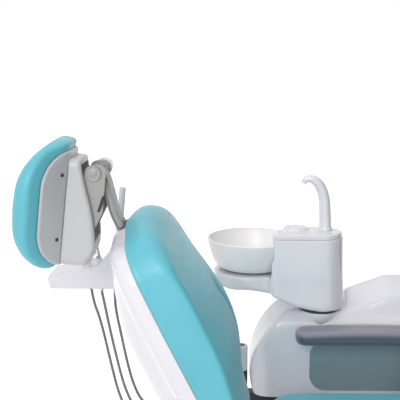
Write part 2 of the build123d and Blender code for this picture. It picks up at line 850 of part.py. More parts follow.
# ================================================================== backrest
frame_y = back_ear_y + back_ear
with BuildPart() as back_frame:
    with BuildSketch(back_front(frame_n - frame_plate / 2)):
        with Locations((0, (frame_low_w + frame_high_w) / 2)):
            RectangleRounded(2 * frame_half_width, frame_high_w - frame_low_w, 2 * back_tube_r)
    extrude(amount=frame_plate)
    for y in (frame_y, -back_ear_y):
        with BuildSketch(back_side(y)):
            Circle(back_tube_r)
            with Locations((frame_n, horn_link_w)):
                Circle(frame_plate / 2)
            with Locations((frame_n - 2 * back_tube_r, horn_link_w / 2)):
                Circle(frame_plate / 2)
            make_hull()
            clear_w = back_bottom - swing_gap + horn_link_w / 2
            with Locations((frame_n + frame_plate / 2 + back_tube_r, clear_w)):
                Rectangle(2 * back_tube_r, horn_link_w, mode=Mode.SUBTRACT)
        extrude(amount=back_ear)
    cross_bar((hinge_x, hinge_z), back_tube_r, frame_y)
    drive_horns((hinge_x, hinge_z), recline_drive_pin, horn_y)
    cross_bar((hinge_x, hinge_z), back_pin_r + running_gap, frame_y, Mode.SUBTRACT)
save(back_frame, "back_frame")


def back_outline(inset):
    """Front outline of the backrest: wide at the waist, rounded at the shoulders."""
    half = back_half_width - inset
    top_half = back_top_half_width - inset
    low = back_bottom + inset
    high = back_length - inset
    with BuildSketch(back_front(-2 * shell_depth)) as outline:
        with BuildLine():
            FilletPolyline(
                (-half, low), (-half, lumbar_w), (-top_half, high),
                (top_half, high), (half, lumbar_w), (half, low),
                radius=(back_foot_r, back_waist_r, back_corner_r, back_corner_r, back_waist_r, back_foot_r),
                close=True,
            )
        make_face()
    return outline.sketch


def shell_solid(inset):
    """Rear shell form pulled in by inset, continued forward past the cushion's edge."""
    front = back_edge_thick
    low = back_bottom + inset
    high = back_length - inset
    rear = -shell_depth + inset
    half = back_half_width - inset
    with BuildPart() as form:
        with BuildSketch(back_side(back_half_width)):
            with BuildLine():
                FilletPolyline(
                    (front, high), (back_seat_n, high), (-shell_top_depth + inset, high - shell_crown),
                    (rear, shell_waist_w), (rear, shell_heel_w), (-shell_top_depth + inset, low), (front, low),
                    radius=(0, 0, shell_corner_r, shell_waist_r, shell_corner_r, shell_corner_r, 0), close=True,
                )
            make_face()
        extrude(amount=2 * back_half_width)
        with BuildSketch(back_section(-back_bottom)):
            with BuildLine():
                FilletPolyline(
                    (front, -half), (-shell_side_depth, -half), (rear, -half + shell_side_slope),
                    (rear, half - shell_side_slope), (-shell_side_depth, half), (front, half),
                    radius=(0, shell_side_r, shell_side_r, shell_side_r, shell_side_r, 0), close=True,
                )
            make_face()
        extrude(amount=back_length + 2 * back_bottom, mode=Mode.INTERSECT)
        extrude(back_outline(inset), amount=4 * shell_depth, mode=Mode.INTERSECT)
    return form.part


frame_rear_n = frame_n - frame_plate / 2
stem_n = frame_rear_n - guide_wall - stem_fit - stem_thick / 2
stem_hole = (stem_thick + 2 * stem_fit, stem_width + 2 * stem_fit)
shell_form = shell_solid(0)
shell_core = shell_solid(shell_wall)
with BuildPart() as shell_bosses:
    with BuildSketch(back_front(-shell_depth)):
        with Locations(*[(y, w) for y in (-boss_y, boss_y) for w in (boss_low_w, boss_high_w)]):
            Circle(boss_r)
    extrude(amount=shell_depth + frame_rear_n)
    add(shell_form, mode=Mode.INTERSECT)

with BuildPart() as back_shell:
    add(shell_form)
    add(shell_core, mode=Mode.SUBTRACT)
    add(shell_bosses.part)
    split(bisect_by=back_front(back_seat_n), keep=Keep.BOTTOM)
    with BuildSketch(back_section(guide_low_w - swing_gap)):
        with Locations((stem_n, 0)):
            Rectangle(stem_hole[0] + 2 * guide_wall + swing_gap, stem_hole[1] + 2 * guide_wall + swing_gap)
    extrude(amount=guide_high_w - guide_low_w + 2 * swing_gap, mode=Mode.SUBTRACT)
    with BuildSketch(back_section(guide_high_w)):
        with Locations((stem_n, 0)):
            Rectangle(stem_hole[0] + swing_gap, stem_hole[1] + swing_gap)
    extrude(amount=back_length - guide_high_w + shell_crown, mode=Mode.SUBTRACT)
    with BuildSketch(back_section(0)):
        with Locations((-foot_slot_depth / 2, 0)):
            Rectangle(foot_slot_depth, 2 * (frame_y + swing_gap))
    extrude(amount=2 * back_bottom, mode=Mode.SUBTRACT)
    for y in (cap_y + cap_reach, -cap_y):
        with BuildSketch(back_side(y)):
            with Locations((cap_n, cap_w)):
                Circle(cap_r)
        extrude(amount=cap_reach, mode=Mode.SUBTRACT)
save(back_shell, "back_shell")

with BuildPart() as back_screw_caps:
    for y in (cap_y + cap_thick, -cap_y):
        with BuildSketch(back_side(y)):
            with Locations((cap_n, cap_w)):
                Circle(cap_r)
        extrude(amount=cap_thick)
save(back_screw_caps, "back_screw_caps")

# Steel sleeve behind the frame plate that the headrest stem slides in.
with BuildPart() as stem_guide:
    with BuildSketch(back_section(guide_low_w)):
        with Locations((stem_n, 0)):
            Rectangle(stem_hole[0] + 2 * guide_wall, stem_hole[1] + 2 * guide_wall)
            Rectangle(*stem_hole, mode=Mode.SUBTRACT)
    extrude(amount=guide_high_w - guide_low_w)
save(stem_guide, "stem_guide")

cushion_n = back_seat_n + soft_gap
with BuildPart() as back_cushion:
    with BuildSketch(back_side(back_half_width)):
        with BuildLine():
            crown = Spline(
                (back_foot_n, back_bottom + back_foot_rise), *back_low_crown, (lumbar_n, lumbar_w),
                *back_high_crown, (back_apex_n, back_length + back_apex_rise),
                (cushion_n, back_length - back_apex_rise / 2),
            )
            Polyline(crown @ 1, (cushion_n, back_bottom), crown @ 0)
        make_face()
    extrude(amount=2 * back_half_width)
    extrude(back_outline(0), amount=4 * shell_depth, mode=Mode.INTERSECT)
save(back_cushion, "back_cushion")

# ================================================================== headrest
neck_low = (stem_n, (stem_low_w + stem_bend_w) / 2)
neck_straight = (stem_thick, stem_bend_w - stem_low_w)
pivot_n = (head_pivot[0] - hinge_x) * back_n[0] + (head_pivot[1] - hinge_z) * back_n[2]
pivot_w = (head_pivot[0] - hinge_x) * back_w[0] + (head_pivot[1] - hinge_z) * back_w[2]
with BuildPart() as headrest_stem:
    with BuildSketch(back_side(stem_width / 2)):
        with Locations(neck_low):
            Rectangle(*neck_straight)
    extrude(amount=stem_width)
    for low_end, high_end in (((stem_n, stem_bend_w), stem_waist), (stem_waist, (pivot_n, pivot_w))):
        with BuildSketch(back_side(stem_width / 2)):
            with Locations(low_end, high_end):
                Circle(stem_thick / 2)
            make_hull()
        extrude(amount=stem_width)
    cross_bar(head_pivot, knuckle_r, knuckle_half)
    cross_bar(head_pivot, head_pin_r + running_gap, knuckle_half, Mode.SUBTRACT)
save(headrest_stem, "headrest_stem")

pin_near_y = head_link_y + head_link_plate + drum_height
with BuildPart() as headrest_link:
    for y in (head_link_y + head_link_plate, -head_link_y):
        with BuildSketch(side_plane(y)):
            with Locations(head_pivot, drum_centre, link_elbow, link_toe, head_tilt):
                Circle(link_end_r)
            make_hull()
        extrude(amount=head_link_plate)
    for y in (pin_near_y, -head_link_y - head_link_plate):
        round_bar(side_plane(y), drum_centre, drum_r, drum_height)
    cross_bar(head_tilt, tilt_tube_r, head_link_y + head_link_plate)
    cross_bar(head_tilt, head_pin_r + running_gap, head_link_y + head_link_plate, Mode.SUBTRACT)
    cross_bar(link_toe, head_pin_r, head_link_y)
    cross_bar(head_pivot, head_pin_r, pin_near_y, Mode.SUBTRACT)
    with BuildSketch(side_plane(-head_link_y - head_link_plate + link_slot_deep)):
        with Locations(Location(link_slot, link_slot_angle)):
            SlotOverall(*link_slot_size)
    extrude(amount=link_slot_deep + drum_height, mode=Mode.SUBTRACT)
save(headrest_link, "headrest_link")

with BuildPart() as headrest_pivot_pin:
    round_bar(side_plane(head_pin_end), head_pivot, head_pin_r, head_pin_end + pin_near_y)
save(headrest_pivot_pin, "headrest_pivot_pin")

knob_floor = pin_near_y + soft_gap
with BuildPart() as headrest_lock_knob:
    with BuildSketch(side_plane(knob_floor + lock_knob_height)):
        with Locations(head_pivot):
            Circle(lock_knob_r)
            with PolarLocations(lock_knob_r + lock_rib_r / 2, lock_knob_ribs):
                Circle(lock_rib_r, mode=Mode.SUBTRACT)
    extrude(amount=lock_knob_height)
    knob_faces = headrest_lock_knob.faces().sort_by(Axis.Y)
    chamfer(knob_faces[-1].edges(), length=lock_rib_r)
    round_bar(side_plane(head_pin_end + 1), head_pivot, head_pin_r + running_gap, head_pin_end, Mode.SUBTRACT)
save(headrest_lock_knob, "headrest_lock_knob")


def swept_plate(rear, front, half_width, low, high, corner_r):
    """A V-shaped plate from v = rear to front at the centre, swept forward at its sides."""
    sweep = head_sweep * (half_width - head_flat_half) / (head_half_width - head_flat_half)
    bend_r = head_flat_half / 2
    with BuildSketch(head_section(low)) as section:
        with BuildLine() as outline:
            FilletPolyline(
                (front - sweep, -half_width), (front, -head_flat_half), (front, head_flat_half),
                (front - sweep, half_width), (rear - sweep, half_width), (rear, head_flat_half),
                (rear, -head_flat_half), (rear - sweep, -half_width),
                radius=(0, bend_r, bend_r, 0, 0, bend_r, bend_r, 0), close=True,
            )
        make_face(outline.edges())
    extrude(section.sketch, amount=high - low)
    with BuildSketch(head_front(-4 * head_sweep)) as front_view:
        with Locations((0, (low + high) / 2)):
            RectangleRounded(2 * half_width, high - low, corner_r)
    extrude(front_view.sketch, amount=8 * head_sweep, mode=Mode.INTERSECT)


def screw_planes():
    """Planes on the floors of the screw recesses, square to the swept sides."""
    planes = []
    for side in (-1, 1):
        lean = side * atan2(head_sweep, head_half_width - head_flat_half)
        normal = (cos(lean) * head_v[0], sin(lean), cos(lean) * head_v[2])
        depth = (head_screw_y - head_flat_half) * tan(abs(lean)) + head_screw_deep * cos(lean)
        for u in head_screw_u:
            planes.append(Plane(origin=head_point(-depth, u, side * head_screw_y), z_dir=normal))
    return planes


with BuildPart() as headrest_shell:
    swept_plate(0, -head_shell_thick, head_half_width, head_shell_low, head_shell_high, head_corner_r)
    with BuildSketch(head_side(head_housing_half)):
        with BuildLine():
            rear_crown = Spline((0, head_shell_low), *head_housing_crown)
            Polyline(
                rear_crown @ 1, (-head_shell_thick / 2, head_housing_crown[-1][1]),
                (-head_shell_thick / 2, head_shell_low), rear_crown @ 0,
            )
        make_face()
    extrude(amount=2 * head_housing_half)
    with BuildSketch(head_section(head_slot_low)):
        with Locations((head_slot_floor + head_sweep, 0)):
            Rectangle(2 * head_sweep, 2 * head_slot_half)
    extrude(amount=head_slot_high - head_slot_low, mode=Mode.SUBTRACT)
    cross_bar(head_tilt, head_pin_r, head_housing_half + 1, Mode.SUBTRACT)
    for plane in screw_planes():
        round_bar(plane, (0, 0), head_screw_r, 2 * head_screw_deep, Mode.SUBTRACT)
save(headrest_shell, "headrest_shell")

with BuildPart() as headrest_screws:
    for plane in screw_planes():
        with BuildSketch(plane) as head:
            Circle(head_screw_r)
            RegularPolygon(head_screw_r / 2, 6, mode=Mode.SUBTRACT)
        extrude(head.sketch, amount=head_screw_deep / 2)
save(headrest_screws, "headrest_screws")

with BuildPart() as headrest_tilt_pin:
    cross_bar(head_tilt, head_pin_r, head_housing_half)
save(headrest_tilt_pin, "headrest_tilt_pin")

pad_back = -head_shell_thick - soft_gap
with BuildPart() as headrest_cushion:
    swept_plate(
        pad_back, pad_back - head_pad_thick, head_pad_half_width, head_pad_low, head_pad_high, head_corner_r
    )
save(headrest_cushion, "headrest_cushion")

# ================================================================== armrests
arm_mid_y = (arm_inner_y + arm_outer_y) / 2
arm_floor_z = arm_top_z - arm_thick
arm_plate_length = 120.0
arm_plate_width = 50.0
arm_post_top = arm_floor_z - arm_plate_thick
arm_spigot_r = 10.0
arm_bearing_z = 560.0
arm_bearing_r = 17.0


def arm_pad(y_mid):
    """Padded armrest: slightly arched along its length, with rounded ends."""
    length = arm_front_x - arm_rear_x
    width = arm_outer_y - arm_inner_y
    with BuildSketch(Plane.XY.offset(arm_floor_z)) as plan:
        with Locations((arm_rear_x + length / 2, y_mid)):
            RectangleRounded(length, width, arm_end_r)
    extrude(plan.sketch, amount=2 * arm_thick)
    with BuildSketch(side_plane(y_mid + width)) as profile:
        with BuildLine() as outline:
            crown = ThreePointArc(
                (arm_rear_x - arm_arch, arm_top_z - arm_arch),
                (arm_rear_x + length / 2, arm_top_z),
                (arm_front_x + arm_arch, arm_top_z - arm_arch),
            )
            Polyline(
                crown @ 1, (arm_front_x + arm_arch, arm_floor_z - arm_arch),
                (arm_rear_x - arm_arch, arm_floor_z - arm_arch), crown @ 0,
            )
        make_face(outline.edges())
    extrude(profile.sketch, amount=2 * width, mode=Mode.INTERSECT)


def arm_plate(y_mid):
    """Steel plate under the armrest pad."""
    with BuildSketch(Plane.XY.offset(arm_post_top)) as plan:
        with Locations((arm_post_x, y_mid)):
            RectangleRounded(arm_plate_length, arm_plate_width, arm_bearing_r / 2)
    extrude(plan.sketch, amount=arm_plate_thick)


with BuildPart() as armrest_post_left:
    round_bar(Plane.XY.offset(deck_z), (arm_post_x, arm_mid_y), arm_bearing_r, arm_post_top - deck_z)
    arm_plate(arm_mid_y)
save(armrest_post_left, "armrest_post_left")

with BuildPart() as armrest_pad_left:
    arm_pad(arm_mid_y)
save(armrest_pad_left, "armrest_pad_left")

with BuildPart() as armrest_post_right:
    round_bar(Plane.XY.offset(deck_z), (arm_post_x, -arm_mid_y), arm_bearing_r, arm_bearing_z - deck_z)
    round_bar(
        Plane.XY.offset(arm_bearing_z - 2 * arm_bearing_r), (arm_post_x, -arm_mid_y),
        arm_spigot_r + running_gap, 4 * arm_bearing_r, Mode.SUBTRACT,
    )
save(armrest_post_right, "armrest_post_right")

with BuildPart() as armrest_pivot_right:
    post_rise = arm_post_top - arm_bearing_z
    round_bar(Plane.XY.offset(arm_bearing_z), (arm_post_x, -arm_mid_y), arm_bearing_r, post_rise)
    round_bar(
        Plane.XY.offset(arm_bearing_z - 2 * arm_bearing_r + 1), (arm_post_x, -arm_mid_y),
        arm_spigot_r, 2 * arm_bearing_r,
    )
    arm_plate(-arm_mid_y)
save(armrest_pivot_right, "armrest_pivot_right")

with BuildPart() as armrest_pad_right:
    arm_pad(-arm_mid_y)
save(armrest_pad_right, "armrest_pad_right")

# ================================================================== side box


def box_form(inset):
    """Body of the side box pulled in by inset, open below."""
    nose = box_nose_x + inset
    top = box_deck_z - inset
    near = box_near_y + inset
    far = box_far_y - inset
    front = box_front_x - inset
    with BuildPart() as form:
        with BuildSketch(side_plane(far)):
            with BuildLine():
                bow = Spline(
                    (nose + box_bow_foot, deck_z), *((nose + x, z) for x, z in box_bow),
                    *((nose + x, z - inset) for x, z in box_shoulder), (nose + box_bow_run, top),
                )
                Polyline(bow @ 1, (front, top), (front, deck_z), bow @ 0)
            make_face()
        extrude(amount=far - near)
        with BuildSketch(Plane.YZ.offset(nose)):
            with BuildLine():
                FilletPolyline(
                    (near, deck_z), (near, top - box_edge_drop), (near + box_edge_width, top),
                    (far, top), (far, deck_z),
                    radius=(0, box_edge_r, box_edge_r, box_edge_r, 0), close=True,
                )
            make_face()
        extrude(amount=front - nose, mode=Mode.INTERSECT)
        with BuildSketch(Plane.XY.offset(deck_z)):
            with BuildLine():
                FilletPolyline(
                    (nose, near), (front, near), (front, far), (nose, far),
                    radius=(box_nose_r, box_edge_r, box_edge_r, box_nose_r), close=True,
                )
            make_face()
        extrude(amount=box_deck_z, mode=Mode.INTERSECT)
    with BuildPart() as hood:
        for x, foot_z, crease_z, ridge_z in hood_stations:
            with BuildSketch(Plane.YZ.offset(min(max(x, hood_x + inset), front))):
                with BuildLine():
                    Polyline(
                        (hood_near_y + inset - hood_step, deck_z + inset),
                        (hood_near_y + inset - hood_step, foot_z - inset),
                        (hood_near_y + inset, crease_z - inset),
                        (hood_ridge_y, ridge_z - inset),
                        (far - box_edge_r / 2, ridge_z - inset),
                        (far - box_edge_r / 2, deck_z + inset), close=True,
                    )
                make_face()
        loft(ruled=True)
    with BuildPart() as whole:
        add(form.part)
        add(hood.part)
    return whole.part


box_outer = box_form(0)
box_inner = box_form(box_wall)
with BuildPart() as side_box:
    add(box_outer)
    add(box_inner, mode=Mode.SUBTRACT)
    block((box_nose_x, box_front_x), (box_near_y, box_far_y), (deck_z - box_wall, deck_z), Mode.SUBTRACT)
    round_bar(
        Plane.XY.offset(box_deck_z - box_edge_drop), (swivel_x, swivel_y), spindle_r + box_wall,
        2 * box_edge_drop, Mode.SUBTRACT,
    )
    with BuildSketch(side_plane(box_near_y + panel_deep)):
        with Locations(panel_centre):
            RectangleRounded(panel_size[0], panel_size[1], panel_r)
    extrude(amount=2 * panel_deep, mode=Mode.SUBTRACT)
save(side_box, "side_box")

with BuildPart() as side_panel:
    with BuildSketch(side_plane(box_near_y + panel_deep)):
        with Locations(panel_centre):
            RectangleRounded(panel_size[0] - 2 * soft_gap, panel_size[1] - 2 * soft_gap, panel_r - soft_gap)
    extrude(amount=2 * panel_deep)
    fillet(side_panel.faces().sort_by(Axis.Y)[0].edges(), radius=panel_deep / 2)
save(side_panel, "side_panel")

# Water valves on the front tube and the waste trap on the rear tube, inside the box.
with BuildPart() as valve_block:
    block(
        (front_tube_x - valve_length / 2, front_tube_x + valve_length / 2),
        (swivel_y - valve_width / 2, swivel_y + valve_width / 2), (deck_z, deck_z + valve_body_height),
    )
    for x in (-valve_pitch, 0, valve_pitch):
        valve_top = Plane.XY.offset(deck_z + valve_body_height)
        round_bar(valve_top, (front_tube_x + x, swivel_y), valve_coil_r, 2 * valve_coil_r)
save(valve_block, "valve_block")

with BuildPart() as drain_trap:
    round_bar(Plane.XY.offset(deck_z), (rear_tube_x, swivel_y), trap_r, trap_height)
    round_bar(
        Plane.XY.offset(deck_z + trap_height), (swivel_x, swivel_y), drain_r,
        box_deck_z - 3 * swivel_height - trap_height - deck_z,
    )
save(drain_trap, "drain_trap")

# ================================================================== cuspidor
with BuildPart() as swivel_ring:
    round_bar(Plane.XY.offset(box_deck_z), (swivel_x, swivel_y), swivel_r, swivel_height)
    round_bar(
        Plane.XY.offset(box_deck_z - box_wall), (swivel_x, swivel_y), spindle_r + running_gap,
        2 * swivel_height, Mode.SUBTRACT,
    )
save(swivel_ring, "swivel_ring")


def tower_plan(inset):
    """Plan of the tower: straight near wall, round front end, far wall towards the bowl."""
    reach = tower_r - inset
    with BuildSketch(Plane.XY.offset(tower_bottom_z)) as plan:
        with Locations((swivel_x, swivel_y)):
            Circle(reach)
        with Locations((swivel_x - tower_run / 2, swivel_y)):
            Rectangle(tower_run, 2 * reach)
    return plan.sketch


tower_height = tower_top_z - tower_bottom_z
tower_taper = degrees(atan2(tower_r - tower_top_r, tower_height))
with BuildPart() as cuspidor_tower:
    extrude(tower_plan(0), amount=tower_height, taper=tower_taper)
    round_bar(Plane.XY.offset(tray_top_z), (bowl_x, bowl_y), bowl_clear_r, tower_height, Mode.SUBTRACT)
    round_bar(Plane.XY.offset(tower_bottom_z), (bowl_x, bowl_y), tray_r, tray_top_z - tower_bottom_z)
    with BuildSketch(side_plane(bowl_y + tray_r + 1)):
        with BuildLine():
            scoop = Spline(
                *((bowl_x - tray_r + x, tray_top_z + z) for x, z in tray_edge),
                (bowl_x, tray_top_z - tray_thick), *tray_underside, (swivel_x, tower_bottom_z),
            )
            Polyline(
                scoop @ 1, (swivel_x + 2 * tower_r, tower_bottom_z), (swivel_x + 2 * tower_r, tower_top_z),
                (bowl_x - tray_r, tower_top_z), scoop @ 0,
            )
        make_face()
    extrude(amount=2 * (tray_r + tower_r), mode=Mode.INTERSECT)
    round_bar(
        Plane.XY.offset(box_deck_z - spindle_drop), (swivel_x, swivel_y), spindle_r, spindle_drop + swivel_height
    )
    round_bar(
        Plane.XY.offset(tray_top_z - spindle_drop), (bowl_x, bowl_y), bowl_spigot_r + running_gap,
        2 * spindle_drop, Mode.SUBTRACT,
    )
save(cuspidor_tower, "cuspidor_tower")

with BuildPart() as cuspidor_cap:
    with BuildSketch(Plane.XY.offset(tower_top_z)):
        with Locations((swivel_x, swivel_y)):
            Circle(tower_top_r - cap_step)
        with Locations((swivel_x - tower_run / 2, swivel_y)):
            Rectangle(tower_run, 2 * (tower_top_r - cap_step))
        with Locations((bowl_x, bowl_y)):
            Circle(beak_clear_r, mode=Mode.SUBTRACT)
        with Locations(beak_centre):
            Circle(beak_r)
    extrude(amount=cap_height)
    fillet(cuspidor_cap.faces().sort_by(Axis.Z)[-1].edges(), radius=cap_edge_r)
    round_bar(Plane.XY.offset(tower_top_z + cap_height), hump_centre, hump_r, hump_height)
    fillet(cuspidor_cap.faces().sort_by(Axis.Z)[-1].edges(), radius=hump_height - 1)
save(cuspidor_cap, "cuspidor_cap")
cap_top_z = tower_top_z + cap_height

with BuildPart() as filler_spout:
    with BuildLine():
        swan_neck = Spline(
            *((spout_x + x, spout_y, cap_top_z + rise) for x, rise in spout_bends),
            (spout_x - spout_reach, spout_y, spout_tip_z),
            tangents=((0, 0, 1), (-0.55, 0, -0.85)),
        )
    for share, radius in spout_sections:
        with BuildSketch(Plane(origin=swan_neck @ share, z_dir=swan_neck % share, x_dir=(0, 1, 0))):
            Circle(radius)
    loft()
    with BuildSketch(Plane(origin=swan_neck @ 1, z_dir=-(swan_neck % 1), x_dir=(0, 1, 0))):
        Circle(spout_bore_r)
    extrude(amount=2 * spout_bore_r, mode=Mode.SUBTRACT)
save(filler_spout, "filler_spout")

with BuildPart() as flush_nozzle:
    nozzle_tip = Plane.XY.offset(tower_top_z - nozzle_drop)
    round_bar(nozzle_tip, beak_centre, nozzle_r, nozzle_drop)
    round_bar(nozzle_tip, beak_centre, nozzle_r / 2, nozzle_drop - nozzle_r, Mode.SUBTRACT)
save(flush_nozzle, "flush_nozzle")


def bowl_wall_line(inset):
    """Outline of half the bowl, from the foot to the rim, moved inwards by inset."""
    return Spline(
        (bowl_foot_r - inset / 2, bowl_rim_z - bowl_depth + inset),
        (bowl_knee[0] - inset, bowl_rim_z - bowl_knee[1] + inset),
        *((radius - inset, bowl_rim_z - drop) for radius, drop in bowl_side),
        (bowl_r - inset, bowl_rim_z),
    )


bowl_floor_z = bowl_rim_z - bowl_depth
with BuildPart() as cuspidor_bowl:
    with BuildSketch(Plane(origin=(bowl_x, bowl_y, 0), x_dir=(1, 0, 0), z_dir=(0, -1, 0))):
        with BuildLine():
            outer_wall = bowl_wall_line(0)
            inner_wall = bowl_wall_line(bowl_wall)
            Line(outer_wall @ 1, inner_wall @ 1)
            Polyline(
                outer_wall @ 0, (drain_r, bowl_floor_z), (drain_r, bowl_floor_z + bowl_wall), inner_wall @ 0
            )
        make_face()
    revolve(axis=Axis((bowl_x, bowl_y, 0), (0, 0, 1)))
    bowl_lift = bowl_floor_z - tray_top_z
    spigot_foot = Plane.XY.offset(tray_top_z - bowl_spigot_drop)
    round_bar(Plane.XY.offset(tray_top_z), (bowl_x, bowl_y), bowl_spigot_r + bowl_wall, bowl_lift)
    round_bar(spigot_foot, (bowl_x, bowl_y), bowl_spigot_r, bowl_lift + bowl_spigot_drop)
    round_bar(spigot_foot.offset(-bowl_wall), (bowl_x, bowl_y), drain_r, bowl_depth, Mode.SUBTRACT)
save(cuspidor_bowl, "cuspidor_bowl")

with BuildPart() as bowl_strainer:
    round_bar(Plane.XY.offset(bowl_floor_z), (bowl_x, bowl_y), drain_r, bowl_wall / 2)
    with BuildSketch(Plane.XY.offset(bowl_floor_z)):
        with Locations((bowl_x, bowl_y)):
            with PolarLocations(0.6 * drain_r, strainer_holes):
                Circle(strainer_hole_r)
    extrude(amount=bowl_wall, mode=Mode.SUBTRACT)
save(bowl_strainer, "bowl_strainer")

# ================================================================== assistant's arm
hub_gap = 0.1
arm_high_z = arm_low_z + arm_bar_height
with BuildPart() as assistant_bracket:
    block((hub_x, rear_tube[0]), (hub_y - hub_r, hub_y + hub_r), (deck_z - rail_depth + 2, deck_z - 2))
    hub_foot_z = deck_z - rail_depth + 2
    round_bar(Plane.XY.offset(hub_foot_z), (hub_x, hub_y), hub_r, hub_low_z - hub_foot_z)
    round_bar(Plane.XY.offset(deck_z), (hub_x, hub_y), hub_pin_r, arm_high_z - deck_z)
save(assistant_bracket, "assistant_bracket")

with BuildPart() as assistant_arm:
    round_bar(Plane.XY.offset(hub_low_z + hub_gap), (hub_x, hub_y), hub_r, arm_high_z - hub_low_z - hub_gap)
    with BuildSketch(Plane.XY.offset(arm_low_z)):
        with Locations((hub_x, hub_y), (arm_bar_end_x, hub_y)):
            Circle(arm_bar_width / 2)
        make_hull()
    extrude(amount=arm_bar_height)
    round_bar(Plane.XY.offset(arm_high_z), (arm_bar_end_x, hub_y), post_r, holder_floor_z - arm_high_z)
    round_bar(Plane.XY.offset(hub_low_z), (hub_x, hub_y), hub_pin_r + running_gap, arm_high_z, Mode.SUBTRACT)
save(assistant_arm, "assistant_arm")


class Tool:
    """Where one instrument stands: the axis of its socket and the height of the socket's rim."""

    def __init__(self, x, y, lean, rim, body_r):
        self.plane = Plane(origin=(x, y, holder_floor_z), x_dir=(cos(radians(lean)), 0, -sin(radians(lean))),
                           z_dir=(sin(radians(lean)), 0, cos(radians(lean))))
        self.rim = rim
        self.body_r = body_r

    def bar(self, low, high, radius, mode=Mode.ADD):
        """A cylinder along the tool's axis between two heights above the holder's underside."""
        round_bar(self.plane.offset(low), (0, 0), radius, high - low, mode)

    def point(self, height):
        """A point of the tool's axis."""
        return self.plane.from_local_coords((0, 0, height))


ejector_tool = Tool(*ejector_socket)
syringe_tool = Tool(*syringe_socket)
suction_tool = Tool(*suction_socket)
tools = (ejector_tool, syringe_tool, suction_tool)

with BuildPart() as instrument_holder:
    with BuildSketch(side_plane(hub_y + holder_width / 2)):
        with BuildLine():
            FilletPolyline(
                (holder_right_x, holder_floor_z), (holder_left_x, holder_floor_z), (holder_left_x - 6, holder_tip_z),
                (holder_step_x - 20, holder_step_z), (holder_top_x, holder_top_z), (holder_right_x, holder_top_z),
                radius=(0, 12, 16, 40, 24, 20), close=True,
            )
        make_face()
    extrude(amount=holder_width)
    for tool in tools:
        tool.bar(tool.body_r, tool.rim, tool.body_r + 2 * collar_step)
    for tool in tools:
        tool.bar(-tool.rim, 2 * tool.rim, tool.body_r + soft_gap, Mode.SUBTRACT)
save(instrument_holder, "instrument_holder")


def tool_body(tool):
    """The part of an instrument that stands in its socket, with its collar and hose tail."""
    tool.bar(-tail_length, tail_length, tail_r)
    tool.bar(0, tool.rim, tool.body_r)
    tool.bar(tool.rim, tool.rim + collar_height, tool.body_r + collar_step)


def valve_height(tool):
    """Height of the rotary valve's axis on an instrument."""
    return tool.rim + collar_height + valve_rise


def suction_tool_body(tool, tip_r, tip_length):
    """Suction instrument: body with a bore across for its rotary valve, and the tip."""
    tool_body(tool)
    top = valve_height(tool) + valve_rise
    tool.bar(tool.rim + collar_height, top, tool.body_r)
    tool.bar(top, top + tip_length, tip_r)
    cross = Plane(origin=tool.plane.from_local_coords((0, tool.body_r + 1, valve_height(tool))), z_dir=(0, -1, 0))
    round_bar(cross, (0, 0), valve_r + running_gap, 2 * tool.body_r + 2, Mode.SUBTRACT)


def valve_lever(tool):
    """Cross spindle of a rotary valve with its thumb lever on the near side."""
    centre = tool.plane.from_local_coords((0, 0, valve_height(tool)))
    near = Plane(origin=centre, x_dir=(0, 0, 1), z_dir=(0, -1, 0)).offset(-tool.body_r)
    round_bar(near, (0, 0), valve_r, 2 * tool.body_r + swing_gap)
    with BuildSketch(near.offset(2 * tool.body_r + swing_gap)) as paddle:
        Circle(valve_r + 2)
        with Locations((lever_length, 0)):
            Circle(valve_r)
        make_hull()
    extrude(paddle.sketch, amount=lever_thick)


with BuildPart() as suction_handpiece:
    suction_tool_body(suction_tool, suction_tip_r, suction_tip_length)
    fillet(suction_handpiece.faces().sort_by(Axis.Z)[-1].edges(), radius=suction_tip_r / 2)
save(suction_handpiece, "suction_handpiece")

with BuildPart() as suction_valve:
    valve_lever(suction_tool)
save(suction_valve, "suction_valve")

with BuildPart() as saliva_ejector:
    suction_tool_body(ejector_tool, ejector_tip_r, ejector_tip_length)
save(saliva_ejector, "saliva_ejector")

with BuildPart() as ejector_valve:
    valve_lever(ejector_tool)
save(ejector_valve, "ejector_valve")

# Air and water syringe: a block head with two push buttons and a bent nozzle.
head_low = syringe_tool.rim + collar_height
button_centres = [
    syringe_tool.plane.from_local_coords((0, -syringe_head / 2, head_low + height)) for height in button_heights
]


def button_plane(centre, depth):
    """Plane facing the assistant, depth inside the front of the syringe's head."""
    return Plane(origin=centre, z_dir=(0, -1, 0)).offset(-depth)


with BuildPart() as syringe_body:
    tool_body(syringe_tool)
    with BuildSketch(syringe_tool.plane.offset(head_low)):
        RectangleRounded(syringe_head, syringe_head, 5)
    extrude(amount=syringe_head_height)
    for centre in button_centres:
        round_bar(button_plane(centre, button_bore), (0, 0), button_r + running_gap, 2 * button_bore, Mode.SUBTRACT)
    with BuildLine():
        nozzle_start = syringe_tool.point(head_low + syringe_head_height - 1)
        nozzle_knee = syringe_tool.point(head_low + syringe_head_height + nozzle_rise)
        FilletPolyline(nozzle_start, nozzle_knee, nozzle_knee + Vector(-nozzle_reach, 0, nozzle_reach), radius=16)
    with BuildSketch(Plane(origin=nozzle_start, z_dir=syringe_tool.plane.z_dir)):
        Circle(syringe_nozzle_r)
    sweep()
save(syringe_body, "syringe_body")

for name, centre in zip(("syringe_water_button", "syringe_air_button"), button_centres):
    with BuildPart() as button:
        round_bar(button_plane(centre, button_deep), (0, 0), button_r, button_deep + button_proud)
        fillet(button.faces().sort_by(Axis.Y)[0].edges(), radius=button_r / 5)
    save(button, name)

